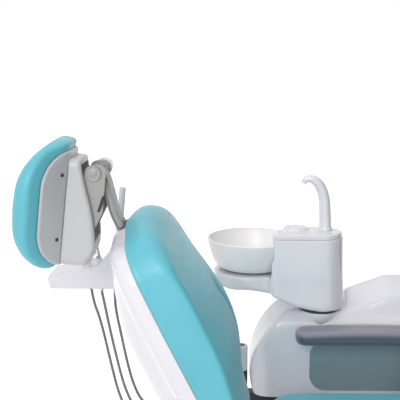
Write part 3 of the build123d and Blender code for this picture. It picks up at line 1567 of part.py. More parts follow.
# ------------------------------------------------------------------ hoses
manifold_x = (manifold_ports[0] - manifold_edge, manifold_ports[-1] + manifold_edge)
with BuildPart() as hose_manifold:
    block(manifold_x, (hub_y - hub_r, hub_y + hub_r), (arm_low_z - manifold_height, arm_low_z))
    for x in manifold_ports:
        round_bar(
            Plane.XY.offset(arm_low_z - manifold_height - port_length), (x, hub_y), tail_r, port_length
        )
save(hose_manifold, "hose_manifold")


def bend_radius(before, corner, after):
    """Largest comfortable radius of the arc at one point of a hose's route."""
    run_in = Vector(*corner) - Vector(*before)
    run_out = Vector(*after) - Vector(*corner)
    return 0.45 * min(run_in.length, run_out.length) / tan(radians(run_in.get_angle(run_out)) / 2)


def hose(name, tool, route, port_x):
    """A hose from a tool's tail along the route to its port on the manifold."""
    start = tool.point(-tail_length)
    end = (port_x, hub_y, arm_low_z - manifold_height - port_length)
    points = [(start.X, start.Y, start.Z), *route, end]
    radii = [bend_radius(*points[i:i + 3]) for i in range(len(points) - 2)]
    with BuildPart() as tube:
        with BuildLine() as path:
            FilletPolyline(*points, radius=radii)
        with BuildSketch(Plane(origin=points[0], z_dir=Vector(*points[1]) - Vector(*points[0]))) as section:
            Circle(hose_r)
        sweep(section.sketch, path=path.wire())
    true_volume = pi * hose_r ** 2 * path.wire().length
    print(name, "length", round(path.wire().length, 1), "volume ratio", round(tube.part.volume / true_volume, 4))
    print("  radii", [round(radius) for radius in radii])
    save(tube, name)


hose("ejector_hose", ejector_tool, ejector_route, manifold_ports[0])
hose("syringe_hose", syringe_tool, syringe_route, manifold_ports[1])
hose("suction_hose", suction_tool, suction_route, manifold_ports[2])
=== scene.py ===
"""Finished look of a dental treatment chair with a cuspidor box and an assistant's arm.

Lengths are metres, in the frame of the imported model: the origin is on the floor between the
anchor holes, +X runs to the patient's feet, +Y to the patient's left and +Z up.
"""

import logging
import math
from collections.abc import Callable, Sequence
from dataclasses import dataclass
from enum import Enum
from typing import Optional

import bmesh
import bpy
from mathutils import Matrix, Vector


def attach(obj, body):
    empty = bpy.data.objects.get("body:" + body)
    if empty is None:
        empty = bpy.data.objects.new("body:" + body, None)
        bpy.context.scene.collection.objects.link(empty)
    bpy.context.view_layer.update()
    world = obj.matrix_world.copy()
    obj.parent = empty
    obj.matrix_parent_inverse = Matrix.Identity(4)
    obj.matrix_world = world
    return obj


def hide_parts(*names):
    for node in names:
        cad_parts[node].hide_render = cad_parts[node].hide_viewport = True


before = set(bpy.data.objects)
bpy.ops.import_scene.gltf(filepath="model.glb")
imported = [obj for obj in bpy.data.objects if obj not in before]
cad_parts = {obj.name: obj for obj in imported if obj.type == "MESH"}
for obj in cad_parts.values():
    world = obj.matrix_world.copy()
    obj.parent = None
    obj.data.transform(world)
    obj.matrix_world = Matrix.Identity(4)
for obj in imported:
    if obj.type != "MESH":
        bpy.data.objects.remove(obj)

LOG = logging.getLogger("dental_chair")
Colour = tuple[float, float, float]
Point2 = tuple[float, float]
Point3 = tuple[float, float, float]
Corner = tuple[float, float, float]
HeightField = Callable[[float, float], float]


# ---------------------------------------------------------------- node helpers
class MixSocket(Enum):
    """Places of a Mix node's sockets for colours: three inputs and the output."""

    SHARE = 0
    FIRST = 6
    SECOND = 7
    RESULT = 2


class Graph:
    """Thin wrapper that adds and links the nodes of one node tree."""

    def __init__(self, tree: bpy.types.NodeTree) -> None:
        """Wrap a node tree.

        Args:
            tree: The tree that receives the nodes.
        """
        self.tree = tree

    def add(self, kind: str, **settings: object) -> bpy.types.Node:
        """Add a node and set its properties.

        Args:
            kind: Blender's type name of the node.
            **settings: Properties of the node.

        Returns:
            The new node.
        """
        node = self.tree.nodes.new(kind)
        for name, value in settings.items():
            setattr(node, name, value)
        return node

    def join(self, source: bpy.types.NodeSocket, target: bpy.types.NodeSocket) -> None:
        """Link one socket to another."""
        self.tree.links.new(source, target)

    def feed(self, value: object, target: bpy.types.NodeSocket) -> None:
        """Link a socket to an input, or set the input to a plain value.

        Args:
            value: A socket or a plain value.
            target: The input.
        """
        if isinstance(value, bpy.types.NodeSocket):
            self.join(value, target)
        else:
            target.default_value = value

    def maths(self, operation: str, first: object, second: object) -> bpy.types.NodeSocket:
        """Combine two sockets or numbers with a Math node.

        Args:
            operation: Name of the Math node's operation.
            first: A socket or a number.
            second: A socket or a number.

        Returns:
            The result socket.
        """
        node = self.add("ShaderNodeMath", operation=operation)
        self.feed(first, node.inputs[0])
        self.feed(second, node.inputs[1])
        return node.outputs[0]

    def stretch(self, where: bpy.types.NodeSocket, factors: Point3) -> bpy.types.NodeSocket:
        """Scale coordinates along each axis.

        Args:
            where: Coordinates.
            factors: Factor along each axis.

        Returns:
            The scaled coordinates.
        """
        node = self.add("ShaderNodeMapping")
        node.inputs["Scale"].default_value = factors
        self.join(where, node.inputs["Vector"])
        return node.outputs["Vector"]

    def noise(
        self, where: bpy.types.NodeSocket, scale: object, detail: float, roughness: float = 0.5
    ) -> bpy.types.NodeSocket:
        """Add a noise texture.

        Args:
            where: Coordinates.
            scale: Noise cells per metre, a number or a socket.
            detail: Octaves.
            roughness: Weight of the finer octaves.

        Returns:
            The factor socket.
        """
        node = self.add("ShaderNodeTexNoise")
        self.feed(scale, node.inputs["Scale"])
        node.inputs["Detail"].default_value = detail
        node.inputs["Roughness"].default_value = roughness
        self.join(where, node.inputs["Vector"])
        return node.outputs["Fac"]

    def blend(self, share: bpy.types.NodeSocket, first: Colour, second: Colour) -> bpy.types.NodeSocket:
        """Mix two colours.

        Args:
            share: Weight of the second colour.
            first: Colour where the share is 0.
            second: Colour where the share is 1.

        Returns:
            The mixed colour socket.
        """
        node = self.add("ShaderNodeMix", data_type="RGBA")
        self.join(share, node.inputs[MixSocket.SHARE.value])
        node.inputs[MixSocket.FIRST.value].default_value = (*first, 1.0)
        node.inputs[MixSocket.SECOND.value].default_value = (*second, 1.0)
        return node.outputs[MixSocket.RESULT.value]

    def spread(
        self, value: bpy.types.NodeSocket, low: float, high: float, to_low: float = 0.0, to_high: float = 1.0
    ) -> bpy.types.NodeSocket:
        """Map a value's range onto another, clamped.

        Args:
            value: The input.
            low: Input that gives to_low.
            high: Input that gives to_high.
            to_low: Output at low.
            to_high: Output at high.

        Returns:
            The mapped socket.
        """
        node = self.add("ShaderNodeMapRange", clamp=True)
        self.join(value, node.inputs["Value"])
        for name, number in (("From Min", low), ("From Max", high), ("To Min", to_low), ("To Max", to_high)):
            node.inputs[name].default_value = number
        return node.outputs["Result"]

    def seen(self) -> bpy.types.NodeSocket:
        """Tell rays that show the surface from rays that only carry its light.

        Returns:
            A socket that is 1 for the camera, in glass and in reflections, and else 0.
        """
        rays = self.add("ShaderNodeLightPath").outputs
        direct = self.maths("MAXIMUM", rays["Is Camera Ray"], rays["Is Transmission Ray"])
        return self.maths("MAXIMUM", direct, rays["Is Glossy Ray"])


class EffectGroup:
    """A shared shader node group with named inputs and outputs."""

    def __init__(
        self, name: str, inputs: Sequence[tuple[str, str, object]], outputs: Sequence[tuple[str, str]]
    ) -> None:
        """Create the group and its sockets.

        Args:
            name: Name of the group.
            inputs: Name, socket type and default of each input.
            outputs: Name and socket type of each output.
        """
        self.tree = bpy.data.node_groups.new(name, "ShaderNodeTree")
        for socket_name, kind, default in inputs:
            socket = self.tree.interface.new_socket(name=socket_name, in_out="INPUT", socket_type=kind)
            if default is not None:
                socket.default_value = default
        for socket_name, kind in outputs:
            self.tree.interface.new_socket(name=socket_name, in_out="OUTPUT", socket_type=kind)
        self.graph = Graph(self.tree)
        self.entry = self.graph.add("NodeGroupInput")
        self.exit = self.graph.add("NodeGroupOutput")

    def place(self, graph: Graph, **values: object) -> bpy.types.Node:
        """Put the group into a material.

        Args:
            graph: The material's graph.
            **values: Input values or sockets, with underscores for spaces in their names.

        Returns:
            The group node.
        """
        node = graph.add("ShaderNodeGroup", node_tree=self.tree)
        for name, value in values.items():
            graph.feed(value, node.inputs[name.replace("_", " ")])
        return node


FLOAT = "NodeSocketFloat"
COLOUR = "NodeSocketColor"
VECTOR = "NodeSocketVector"


class SharedEffects:
    """The node groups that several finishes use."""

    def __init__(self) -> None:
        """Build every group once."""
        self.tone = self._build_tone()
        self.grain = self._build_grain()
        self.wear = self._build_wear()

    def _build_tone(self) -> EffectGroup:
        """Slow colour drift with faint dust in broad patches.

        Returns:
            The group.
        """
        group = EffectGroup(
            "tone_drift",
            [("Position", VECTOR, None), ("Base", COLOUR, (0.8, 0.8, 0.8, 1)), ("Drift", FLOAT, 0.04),
             ("Scale", FLOAT, 6.0)],
            [("Colour", COLOUR), ("Mask", FLOAT)],
        )
        graph, given, result = group.graph, group.entry.outputs, group.exit.inputs
        mask = graph.spread(graph.noise(given["Position"], given["Scale"], 4.0), 0.35, 0.68)
        amount = graph.maths("MULTIPLY", mask, given["Drift"])
        shade = graph.add("ShaderNodeHueSaturation")
        graph.join(given["Base"], shade.inputs["Color"])
        graph.join(graph.maths("SUBTRACT", 1.0, amount), shade.inputs["Value"])
        graph.join(shade.outputs["Color"], result["Colour"])
        graph.join(mask, result["Mask"])
        return group

    def _build_grain(self) -> EffectGroup:
        """Pebbled surface: rounded cells broken up by fine noise.

        Returns:
            The group.
        """
        group = EffectGroup(
            "pebble_grain",
            [("Position", VECTOR, None), ("Scale", FLOAT, 900.0), ("Mottle", FLOAT, 0.5)],
            [("Height", FLOAT), ("Mask", FLOAT)],
        )
        graph, given, result = group.graph, group.entry.outputs, group.exit.inputs
        cells = graph.add("ShaderNodeTexVoronoi", feature="SMOOTH_F1")
        graph.join(given["Position"], cells.inputs["Vector"])
        graph.join(given["Scale"], cells.inputs["Scale"])
        fine = graph.noise(given["Position"], graph.maths("MULTIPLY", given["Scale"], 2.3), 5.0)
        height = graph.maths("ADD", cells.outputs["Distance"], graph.maths("MULTIPLY", fine, given["Mottle"]))
        graph.join(height, result["Height"])
        graph.join(graph.spread(height, 0.3, 1.1), result["Mask"])
        return group

    def _build_wear(self) -> EffectGroup:
        """Handling marks: fine scuffs that break up the gloss.

        Returns:
            The group.
        """
        group = EffectGroup(
            "handling_wear",
            [("Position", VECTOR, None), ("Scale", FLOAT, 30.0), ("Low", FLOAT, 0.2), ("High", FLOAT, 0.3)],
            [("Roughness", FLOAT), ("Mask", FLOAT)],
        )
        graph, given, result = group.graph, group.entry.outputs, group.exit.inputs
        smudge = graph.noise(graph.stretch(given["Position"], (1.0, 0.6, 2.2)), given["Scale"], 6.0, 0.62)
        mask = graph.spread(smudge, 0.38, 0.66)
        span = graph.maths("SUBTRACT", given["High"], given["Low"])
        rough = graph.maths("ADD", graph.maths("MULTIPLY", mask, span), given["Low"])
        graph.join(rough, result["Roughness"])
        graph.join(mask, result["Mask"])
        return group


# ---------------------------------------------------------------- finishes
# How many times wider a smooth surface's waves are than the cells of a grain, and the gloss of a clear coat.
SMOOTH_WAVES = 30.0
COAT_ROUGHNESS = 0.08


class Texture(Enum):
    """Fine relief of a finish."""

    SMOOTH = "smooth"
    PEBBLED = "pebbled"
    BRUSHED = "brushed"
    SPARK = "spark"


@dataclass(frozen=True)
class Finish:
    """One surface finish, made into a material on first use.

    Attributes:
        name: Name of the material.
        colour: Base colour, linear.
        rough_low: Roughness of the clean surface.
        rough_high: Roughness where it is handled.
        drift: How far the colour drifts in broad patches.
        metallic: 1 for bare metal.
        coat: Weight of a clear coat.
        texture: Fine relief.
        grain_scale: Cells or strokes of the relief per metre.
        grain_depth: Depth of the relief in metres.
        edge_radius: Radius that catches the light on hard edges.
        sheen: Weight of the sheen.
        specular: Specular level.
        second: Colour that takes over where the fade is complete; the finishes use it for painted shade and
            painted light.
        fade: Object axis and the two places between which the second colour takes over.
        by_normal: Fade by the surface's direction along that axis in place of its position.
    """

    name: str
    colour: Colour
    rough_low: float = 0.25
    rough_high: float = 0.35
    drift: float = 0.04
    metallic: float = 0.0
    coat: float = 0.0
    texture: Texture = Texture.SMOOTH
    grain_scale: float = 900.0
    grain_depth: float = 0.00005
    edge_radius: float = 0.0
    sheen: float = 0.0
    specular: float = 0.5
    second: Optional[Colour] = None
    fade: tuple[str, float, float] = ("X", 0.0, 1.0)
    by_normal: bool = False

    def relief(
        self, graph: Graph, effects: SharedEffects, where: bpy.types.NodeSocket
    ) -> bpy.types.NodeSocket:
        """Height of the fine relief.

        Args:
            graph: The material's graph.
            effects: Shared groups.
            where: Coordinates.

        Returns:
            A height socket between about 0 and 1.
        """
        if self.texture is Texture.PEBBLED:
            return effects.grain.place(graph, Position=where, Scale=self.grain_scale).outputs["Height"]
        if self.texture is Texture.BRUSHED:
            return graph.noise(graph.stretch(where, (1.0, 1.0, 0.04)), self.grain_scale, 4.0, 0.7)
        if self.texture is Texture.SPARK:
            return graph.noise(where, self.grain_scale, 6.0, 0.75)
        return graph.noise(where, self.grain_scale / SMOOTH_WAVES, 2.0, 0.4)

    def base(self, graph: Graph) -> object:
        """Base colour, faded into the second colour where the finish has one; the fade paints shade and
        light.

        Args:
            graph: The material's graph.

        Returns:
            A colour or a colour socket.
        """
        if self.second is None:
            return (*self.colour, 1.0)
        axis, start, end = self.fade
        split = graph.add("ShaderNodeSeparateXYZ")
        source = graph.add("ShaderNodeTexCoord").outputs["Normal" if self.by_normal else "Object"]
        graph.join(source, split.inputs["Vector"])
        return graph.blend(graph.spread(split.outputs[axis], start, end), self.colour, self.second)

    def material(self, effects: SharedEffects) -> bpy.types.Material:
        """Build the material.

        Args:
            effects: Shared groups.

        Returns:
            The material.
        """
        label = f"{self.name}_finish"
        made = bpy.data.materials.get(label)
        if made is not None:
            return made
        made = bpy.data.materials.new(label)
        made.use_nodes = True
        made.node_tree.nodes.clear()
        graph = Graph(made.node_tree)
        shader = graph.add("ShaderNodeBsdfPrincipled")
        surface = graph.add("ShaderNodeOutputMaterial")
        graph.join(shader.outputs["BSDF"], surface.inputs["Surface"])
        where = graph.add("ShaderNodeTexCoord").outputs["Object"]
        tone = effects.tone.place(graph, Position=where, Base=self.base(graph), Drift=self.drift)
        graph.join(tone.outputs["Colour"], shader.inputs["Base Color"])
        wear = effects.wear.place(graph, Position=where, Low=self.rough_low, High=self.rough_high)
        graph.join(wear.outputs["Roughness"], shader.inputs["Roughness"])
        bump = graph.add("ShaderNodeBump")
        bump.inputs["Strength"].default_value = 1.0
        bump.inputs["Distance"].default_value = self.grain_depth
        graph.join(self.relief(graph, effects, where), bump.inputs["Height"])
        if self.edge_radius > 0:
            rounded = graph.add("ShaderNodeBevel", samples=6)
            rounded.inputs["Radius"].default_value = self.edge_radius
            graph.join(rounded.outputs["Normal"], bump.inputs["Normal"])
        graph.join(bump.outputs["Normal"], shader.inputs["Normal"])
        shader.inputs["Metallic"].default_value = self.metallic
        shader.inputs["Coat Weight"].default_value = self.coat
        shader.inputs["Coat Roughness"].default_value = COAT_ROUGHNESS
        shader.inputs["Sheen Weight"].default_value = self.sheen
        shader.inputs["Specular IOR Level"].default_value = self.specular
        return made


@dataclass(frozen=True)
class Palette:
    """Every finish of the chair.

    Attributes:
        vinyl: Upholstery.
        shell: White mouldings.
        headrest_shell: Grey moulding of the headrest.
        aluminium: Cast arm and link of the headrest.
        steel: Pins, rods and small bright parts.
        enamel: Glossy painted tubes and knobs.
        ceramic: Glaze of the bowl.
        frame_paint: Painted frame.
        bracket: Dark brackets and screws.
        casing: Casings of the drives and the blocks.
        panel: Panel in the side box, with painted shade and a painted teal reflection that darken it past X
            -0.14.
        armrest: Skin of the armrest pads, with painted light that makes their upward faces paler.
        rubber: Collar of the stem.
        hose: The three hoses.
        button: The syringe's buttons.
    """

    vinyl: Finish = Finish("teal_vinyl", (0.125, 0.520, 0.620), 0.34, 0.46, 0.08, texture=Texture.PEBBLED,
                           grain_scale=700.0, grain_depth=0.00012, sheen=0.15)
    shell: Finish = Finish("white_moulding", (0.80, 0.79, 0.835), 0.16, 0.26, 0.03, coat=0.35,
                           grain_scale=900.0, grain_depth=0.00004, edge_radius=0.004)
    headrest_shell: Finish = Finish("headrest_moulding", (0.535, 0.54, 0.555), 0.3, 0.42, 0.04, coat=0.15,
                                    texture=Texture.SPARK, grain_scale=2500.0, grain_depth=0.00003,
                                    edge_radius=0.003)
    aluminium: Finish = Finish("brushed_aluminium", (0.33, 0.33, 0.32), 0.36, 0.50, 0.06, metallic=0.25,
                               texture=Texture.BRUSHED, grain_scale=900.0, grain_depth=0.00006,
                               edge_radius=0.0015)
    steel: Finish = Finish("bright_steel", (0.58, 0.59, 0.60), 0.2, 0.34, 0.05, metallic=1.0,
                           texture=Texture.BRUSHED, grain_scale=1200.0, grain_depth=0.00003,
                           edge_radius=0.001)
    enamel: Finish = Finish("white_enamel", (0.80, 0.80, 0.84), 0.14, 0.22, 0.02, coat=0.5,
                            grain_scale=600.0, grain_depth=0.00003, edge_radius=0.002)
    ceramic: Finish = Finish("bowl_glaze", (0.94, 0.92, 0.925), 0.34, 0.42, 0.02, coat=0.12,
                             grain_scale=400.0, grain_depth=0.00006, edge_radius=0.002)
    frame_paint: Finish = Finish("frame_paint", (0.19, 0.20, 0.22), 0.4, 0.55, 0.08, texture=Texture.SPARK,
                                 grain_scale=1500.0, grain_depth=0.00006, edge_radius=0.002)
    bracket: Finish = Finish("bracket_black", (0.035, 0.036, 0.04), 0.38, 0.52, 0.10, texture=Texture.SPARK,
                             grain_scale=1500.0, grain_depth=0.00006, edge_radius=0.0015)
    casing: Finish = Finish("drive_casing", (0.05, 0.052, 0.056), 0.5, 0.65, 0.10, texture=Texture.PEBBLED,
                            grain_scale=1400.0, grain_depth=0.0001, edge_radius=0.002)
    # Painted shade: from X -0.25 to -0.14 the panel fades from pale to dark teal grey, painting in the
    # armrest's shade and the teal cushion's reflection.
    panel: Finish = Finish("panel_painted_shade", (0.72, 0.74, 0.78), 0.24, 0.28, 0.02, coat=0.3, grain_scale=900.0,
                           grain_depth=0.00004, edge_radius=0.002, second=(0.235, 0.315, 0.335),
                           fade=("X", -0.25, -0.14))
    # Painted light: faces that point up fade to the paler second colour, as if lit from above.
    armrest: Finish = Finish("armrest_skin_painted_light", (0.085, 0.105, 0.145), 0.38, 0.5, 0.08, texture=Texture.PEBBLED,
                             grain_scale=1100.0, grain_depth=0.00008, sheen=0.1, second=(0.30, 0.29, 0.36),
                             fade=("Z", 0.05, 0.75), by_normal=True)
    rubber: Finish = Finish("collar_rubber", (0.05, 0.07, 0.08), 0.45, 0.6, 0.08, texture=Texture.SPARK,
                            grain_scale=1800.0, grain_depth=0.00004)
    hose: Finish = Finish("hose_rubber", (0.20, 0.20, 0.21), 0.4, 0.55, 0.08, texture=Texture.SPARK,
                          grain_scale=1800.0, grain_depth=0.00005)
    button: Finish = Finish("button_blue", (0.05, 0.16, 0.42), 0.25, 0.4, 0.05, texture=Texture.SPARK,
                            grain_scale=2500.0, grain_depth=0.00003, edge_radius=0.0006)


NODE_FINISHES: dict[str, tuple[str, ...]] = {
    "shell": ("base_cover", "lift_arm_cover", "seat_pan", "back_shell", "back_screw_caps", "side_box",
              "cuspidor_tower", "cuspidor_cap", "instrument_holder"),
    "panel": ("side_panel",),
    "headrest_shell": ("headrest_shell",),
    "aluminium": ("headrest_stem", "headrest_link"),
    "steel": ("lower_pivot_pins", "upper_pivot_pins", "lift_rod", "recline_rod", "back_hinge_pin",
              "headrest_pivot_pin", "headrest_tilt_pin", "flush_nozzle", "bowl_strainer", "suction_valve",
              "ejector_valve", "syringe_body"),
    "enamel": ("headrest_lock_knob", "filler_spout", "assistant_arm", "suction_handpiece", "saliva_ejector"),
    "ceramic": ("cuspidor_bowl",),
    "frame_paint": ("base_plate", "pivot_bracket", "lift_arm", "parallel_arm", "seat_frame", "back_frame",
                    "stem_guide", "armrest_post_left", "armrest_post_right", "armrest_pivot_right"),
    "bracket": ("headrest_screws", "swivel_ring", "assistant_bracket"),
    "casing": ("lift_actuator", "recline_actuator", "valve_block", "drain_trap", "hose_manifold"),
    "button": ("syringe_water_button", "syringe_air_button"),
    "vinyl": ("back_cushion", "seat_cushion", "leg_cushion", "headrest_cushion"),
    "armrest": ("armrest_pad_left", "armrest_pad_right"),
    "hose": ("suction_hose", "syringe_hose", "ejector_hose"),
}


def dress_nodes(palette: Palette, effects: SharedEffects) -> None:
    """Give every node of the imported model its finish.

    Args:
        palette: The finishes.
        effects: Shared groups.
    """
    for finish_name, nodes in NODE_FINISHES.items():
        material = getattr(palette, finish_name).material(effects)
        for node in nodes:
            mesh = bpy.data.objects[node].data
            mesh.materials.clear()
            mesh.materials.append(material)


# ---------------------------------------------------------------- studio
@dataclass(frozen=True)
class Lamp:
    """A square area lamp.

    Attributes:
        name: Name of the lamp.
        place: Where it hangs.
        target: What it faces.
        size: Side of the square.
        power: Watts.
    """

    name: str
    place: Point3
    target: Point3
    size: float
    power: float

    def hang(self) -> None:
        """Add the lamp to the scene."""
        data = bpy.data.lights.new(self.name, "AREA")
        data.size = self.size
        data.energy = self.power
        lamp = bpy.data.objects.new(self.name, data)
        lamp.location = self.place
        lamp.rotation_euler = (Vector(self.target) - Vector(self.place)).to_track_quat("-Z", "Y").to_euler()
        bpy.context.scene.collection.objects.link(lamp)


@dataclass
class Studio:
    """Floor, lamps, a dark card and the camera.

    Attributes:
        eye: Place of the camera.
        yaw: Turn of the camera to its left of +Y, degrees.
        pitch: Tilt of the camera below the horizon, degrees.
        lens: Focal length in millimetres.
        sensor: Width of the sensor in millimetres.
        ambient: Strength of the world's light.
        lamps: The area lamps.
        floor_reach: How far the floor runs each way.
        floor_glow: Light that the floor adds where it is seen.
        card_x: Where the dark card stands.
        card: Near and far side, foot and top of the card.
    """

    eye: Point3 = (-0.420, -1.945, 1.436)
    yaw: float = 1.061
    pitch: float = 10.353
    lens: float = 72.9
    sensor: float = 36.0
    ambient: float = 0.60
    lamps: tuple[Lamp, ...] = (
        Lamp("key_lamp", (-1.5, -4.1, 2.7), (-0.25, 0.1, 0.8), 2.4, 96.0),
        Lamp("overhead_lamp", (-0.9, 0.4, 3.6), (-0.2, 0.2, 0.6), 2.6, 15.0),
        Lamp("fill_lamp", (2.8, -2.4, 1.9), (-0.1, 0.1, 0.8), 2.2, 4.0),
    )
    floor_reach: float = 30.0
    floor_glow: float = 0.68
    card_x: float = 1.7
    card: tuple[float, float, float, float] = (-1.6, 1.9, 0.15, 2.5)

    def build(self) -> None:
        """Make the whole studio."""
        self._world()
        self._floor()
        for lamp in self.lamps:
            lamp.hang()
        self._card()
        self._camera()

    def _sheet(self, name: str, corners: Sequence[Point3]) -> tuple[bpy.types.Object, Graph]:
        """Add a four-cornered sheet with an empty material of the same name.

        Args:
            name: Name of the sheet.
            corners: Its corners in order.

        Returns:
            The sheet and its material's graph.
        """
        mesh = bpy.data.meshes.new(name)
        mesh.from_pydata(corners, [], [(0, 1, 2, 3)])
        material = bpy.data.materials.new(name)
        material.use_nodes = True
        material.node_tree.nodes.clear()
        mesh.materials.append(material)
        sheet = bpy.data.objects.new(name, mesh)
        bpy.context.scene.collection.objects.link(sheet)
        return sheet, Graph(material.node_tree)

    def _card(self) -> None:
        """Dark card beyond the feet, which deepens the sides that face it; the camera doesn't see it."""
        x, (near, far, low, high) = self.card_x, self.card
        card, graph = self._sheet(
            "studio_card", [(x, near, low), (x, far, low), (x, far, high), (x, near, high)]
        )
        shader = graph.add("ShaderNodeBsdfPrincipled")
        shader.inputs["Base Color"].default_value = (0.03, 0.03, 0.035, 1)
        shader.inputs["Roughness"].default_value = 0.9
        output = graph.add("ShaderNodeOutputMaterial")
        graph.join(shader.outputs["BSDF"], output.inputs["Surface"])
        card.visible_camera = False

    def _world(self) -> None:
        """Even white surroundings, pure white where the camera or a reflection sees them."""
        world = bpy.data.worlds.new("studio_world")
        bpy.context.scene.world = world
        world.use_nodes = True
        world.node_tree.nodes.clear()
        graph = Graph(world.node_tree)
        background = graph.add("ShaderNodeBackground")
        background.inputs["Color"].default_value = (1.0, 1.0, 1.0, 1.0)
        output = graph.add("ShaderNodeOutputWorld")
        graph.join(graph.spread(graph.seen(), 0.0, 1.0, self.ambient, 1.0), background.inputs["Strength"])
        graph.join(background.outputs["Background"], output.inputs["Surface"])

    def _floor(self) -> None:
        """Pale floor that keeps a soft shadow and shows white to the camera."""
        reach = self.floor_reach
        floor, graph = self._sheet(
            "studio_floor", [(-reach, -reach, 0), (reach, -reach, 0), (reach, reach, 0), (-reach, reach, 0)]
        )
        matt = graph.add("ShaderNodeBsdfPrincipled")
        matt.inputs["Base Color"].default_value = (0.86, 0.86, 0.86, 1)
        matt.inputs["Roughness"].default_value = 0.9
        matt.inputs["Specular IOR Level"].default_value = 0.1
        glow = graph.add("ShaderNodeEmission")
        glow.inputs["Strength"].default_value = self.floor_glow
        both = graph.add("ShaderNodeAddShader")
        graph.join(matt.outputs["BSDF"], both.inputs[0])
        graph.join(glow.outputs["Emission"], both.inputs[1])
        choose = graph.add("ShaderNodeMixShader")
        graph.join(graph.seen(), choose.inputs["Fac"])
        graph.join(matt.outputs["BSDF"], choose.inputs[1])
        graph.join(both.outputs["Shader"], choose.inputs[2])
        output = graph.add("ShaderNodeOutputMaterial")
        graph.join(choose.outputs["Shader"], output.inputs["Surface"])

    def _camera(self) -> None:
        """Add the camera."""
        data = bpy.data.cameras.new("studio_camera")
        data.lens = self.lens
        data.sensor_width = self.sensor
        data.clip_end = 100.0
        camera = bpy.data.objects.new("studio_camera", data)
        camera.location = self.eye
        camera.rotation_euler = (math.radians(90 - self.pitch), 0.0, math.radians(self.yaw))
        bpy.context.scene.collection.objects.link(camera)
        bpy.context.scene.camera = camera


# ---------------------------------------------------------------- places and directions
RECLINE = math.radians(26.6)
BACK_FOOT: Point3 = (-0.325, 0.0, 0.435)
BACK_OUT: Point3 = (math.cos(RECLINE), 0.0, math.sin(RECLINE))
BACK_UP: Point3 = (-math.sin(RECLINE), 0.0, math.cos(RECLINE))
HEAD_LEAN = math.radians(6.5)
HEAD_MIDDLE: Point3 = (-0.772, 0.0, 1.068)
HEAD_OUT: Point3 = (math.cos(HEAD_LEAN), 0.0, -math.sin(HEAD_LEAN))
HEAD_UP: Point3 = (math.sin(HEAD_LEAN), 0.0, math.cos(HEAD_LEAN))
LEG_SLOPE = math.radians(9.0)
LEFT: Point3 = (0.0, 1.0, 0.0)
RIGHT: Point3 = (0.0, -1.0, 0.0)
REARWARD: Point3 = (-1.0, 0.0, 0.0)
UP: Point3 = (0.0, 0.0, 1.0)


def reverse(direction: Point3) -> Point3:
    """The opposite direction."""
    return tuple(-part for part in direction)


def constant(value: float) -> HeightField:
    """The same value all over."""
    return lambda _a, _b: value


def smooth_step(value: float, low: float, high: float) -> float:
    """Rise smoothly from 0 at low to 1 at high."""
    share = min(1.0, max(0.0, (value - low) / (high - low)))
    return share * share * (3.0 - 2.0 * share)


def back_rim(a: float, b: float) -> float:
    """How far the backrest cushion laps back over the rim of its shell.

    Args:
        a: Distance from the backrest's middle.
        b: Distance along the backrest from its foot.

    Returns:
        The lap.
    """
    lap = 0.010
    return lap * max(smooth_step(abs(a), 0.17, 0.20), smooth_step(b, 0.55, 0.625))


def head_sweep(a: float) -> float:
    """How far the headrest's sides are swept at a distance from its middle.

    Args:
        a: Distance from the middle.

    Returns:
        The sweep.
    """
    slope, flat_half, blend = 0.60, 0.06, 0.012
    reach = abs(a) - flat_half
    return slope * (reach + math.sqrt(reach * reach + blend**2)) / 2


def back_outline(
    half: float, top_half: float, shoulder: float, shoulder_radius: float, top: float
) -> tuple[Corner, ...]:
    """Outline of the backrest: upright flanks, rounded shoulders and a domed top.

    Args:
        half: Half width at the waist.
        top_half: Half width at the shoulders.
        shoulder: Distance of the shoulders from the foot.
        shoulder_radius: Radius of the shoulders.
        top: Distance of the top from the foot.

    Returns:
        Corners with their radii, counter-clockwise.
    """
    foot, waist, crown_radius = (half, 0.0285, 0.03), (half, 0.43, 0.3), 0.35
    flank = (waist, (top_half, shoulder, shoulder_radius))
    mirrored = tuple((-x, y, radius) for x, y, radius in reversed(flank))
    return ((-foot[0], *foot[1:]), foot, *flank, (0.0, top, crown_radius), *mirrored)


def box_outline(
    half: float, low: float, high: float, low_radius: float, high_radius: float
) -> tuple[Corner, ...]:
    """Rectangle about the middle line with rounded corners.

    Args:
        half: Half width.
        low: Its lower side.
        high: Its upper side.
        low_radius: Radius of the lower corners.
        high_radius: Radius of the upper corners.

    Returns:
        Corners with their radii, counter-clockwise.
    """
    low_right, high_right = (half, low, low_radius), (half, high, high_radius)
    return ((-half, *low_right[1:]), low_right, high_right, (-half, *high_right[1:]))


# ---------------------------------------------------------------- padded forms
@dataclass(frozen=True)
class PadFrame:
    """Where a pad lies: a point and three unit directions.

    Attributes:
        origin: Zero of the pad's own coordinates.
        across: Direction of its first coordinate.
        along: Direction of its second coordinate.
        out: Direction that the padding faces.
    """

    origin: Point3
    across: Point3
    along: Point3
    out: Point3

    def place(self, a: float, b: float, n: float) -> Vector:
        """Point of the chair's frame at the pad coordinates a, b and n."""
        return Vector(self.origin) + a * Vector(self.across) + b * Vector(self.along) + n * Vector(self.out)


def through(stations: Sequence[Point2]) -> Callable[[float], float]:
    """Smooth curve through a few (position, value) stations.

    Args:
        stations: Pairs in rising order of position.

    Returns:
        A function that gives the value at a position.
    """
    def value(at: float) -> float:
        """Value of the curve at one position.

        Args:
            at: The position.

        Returns:
            The value there.
        """
        if at <= stations[0][0]:
            return stations[0][1]
        for index in range(len(stations) - 1):
            (x0, y0), (x1, y1) = stations[index], stations[index + 1]
            if at <= x1:
                before = stations[max(index - 1, 0)]
                after = stations[min(index + 2, len(stations) - 1)]
                slope0 = (y1 - before[1]) / (x1 - before[0])
                slope1 = (after[1] - y0) / (after[0] - x0)
                span = x1 - x0
                t = (at - x0) / span
                return (
                    (2 * t**3 - 3 * t**2 + 1) * y0 + (t**3 - 2 * t**2 + t) * span * slope0
                    + (3 * t**2 - 2 * t**3) * y1 + (t**3 - t**2) * span * slope1
                )
        return stations[-1][1]

    return value


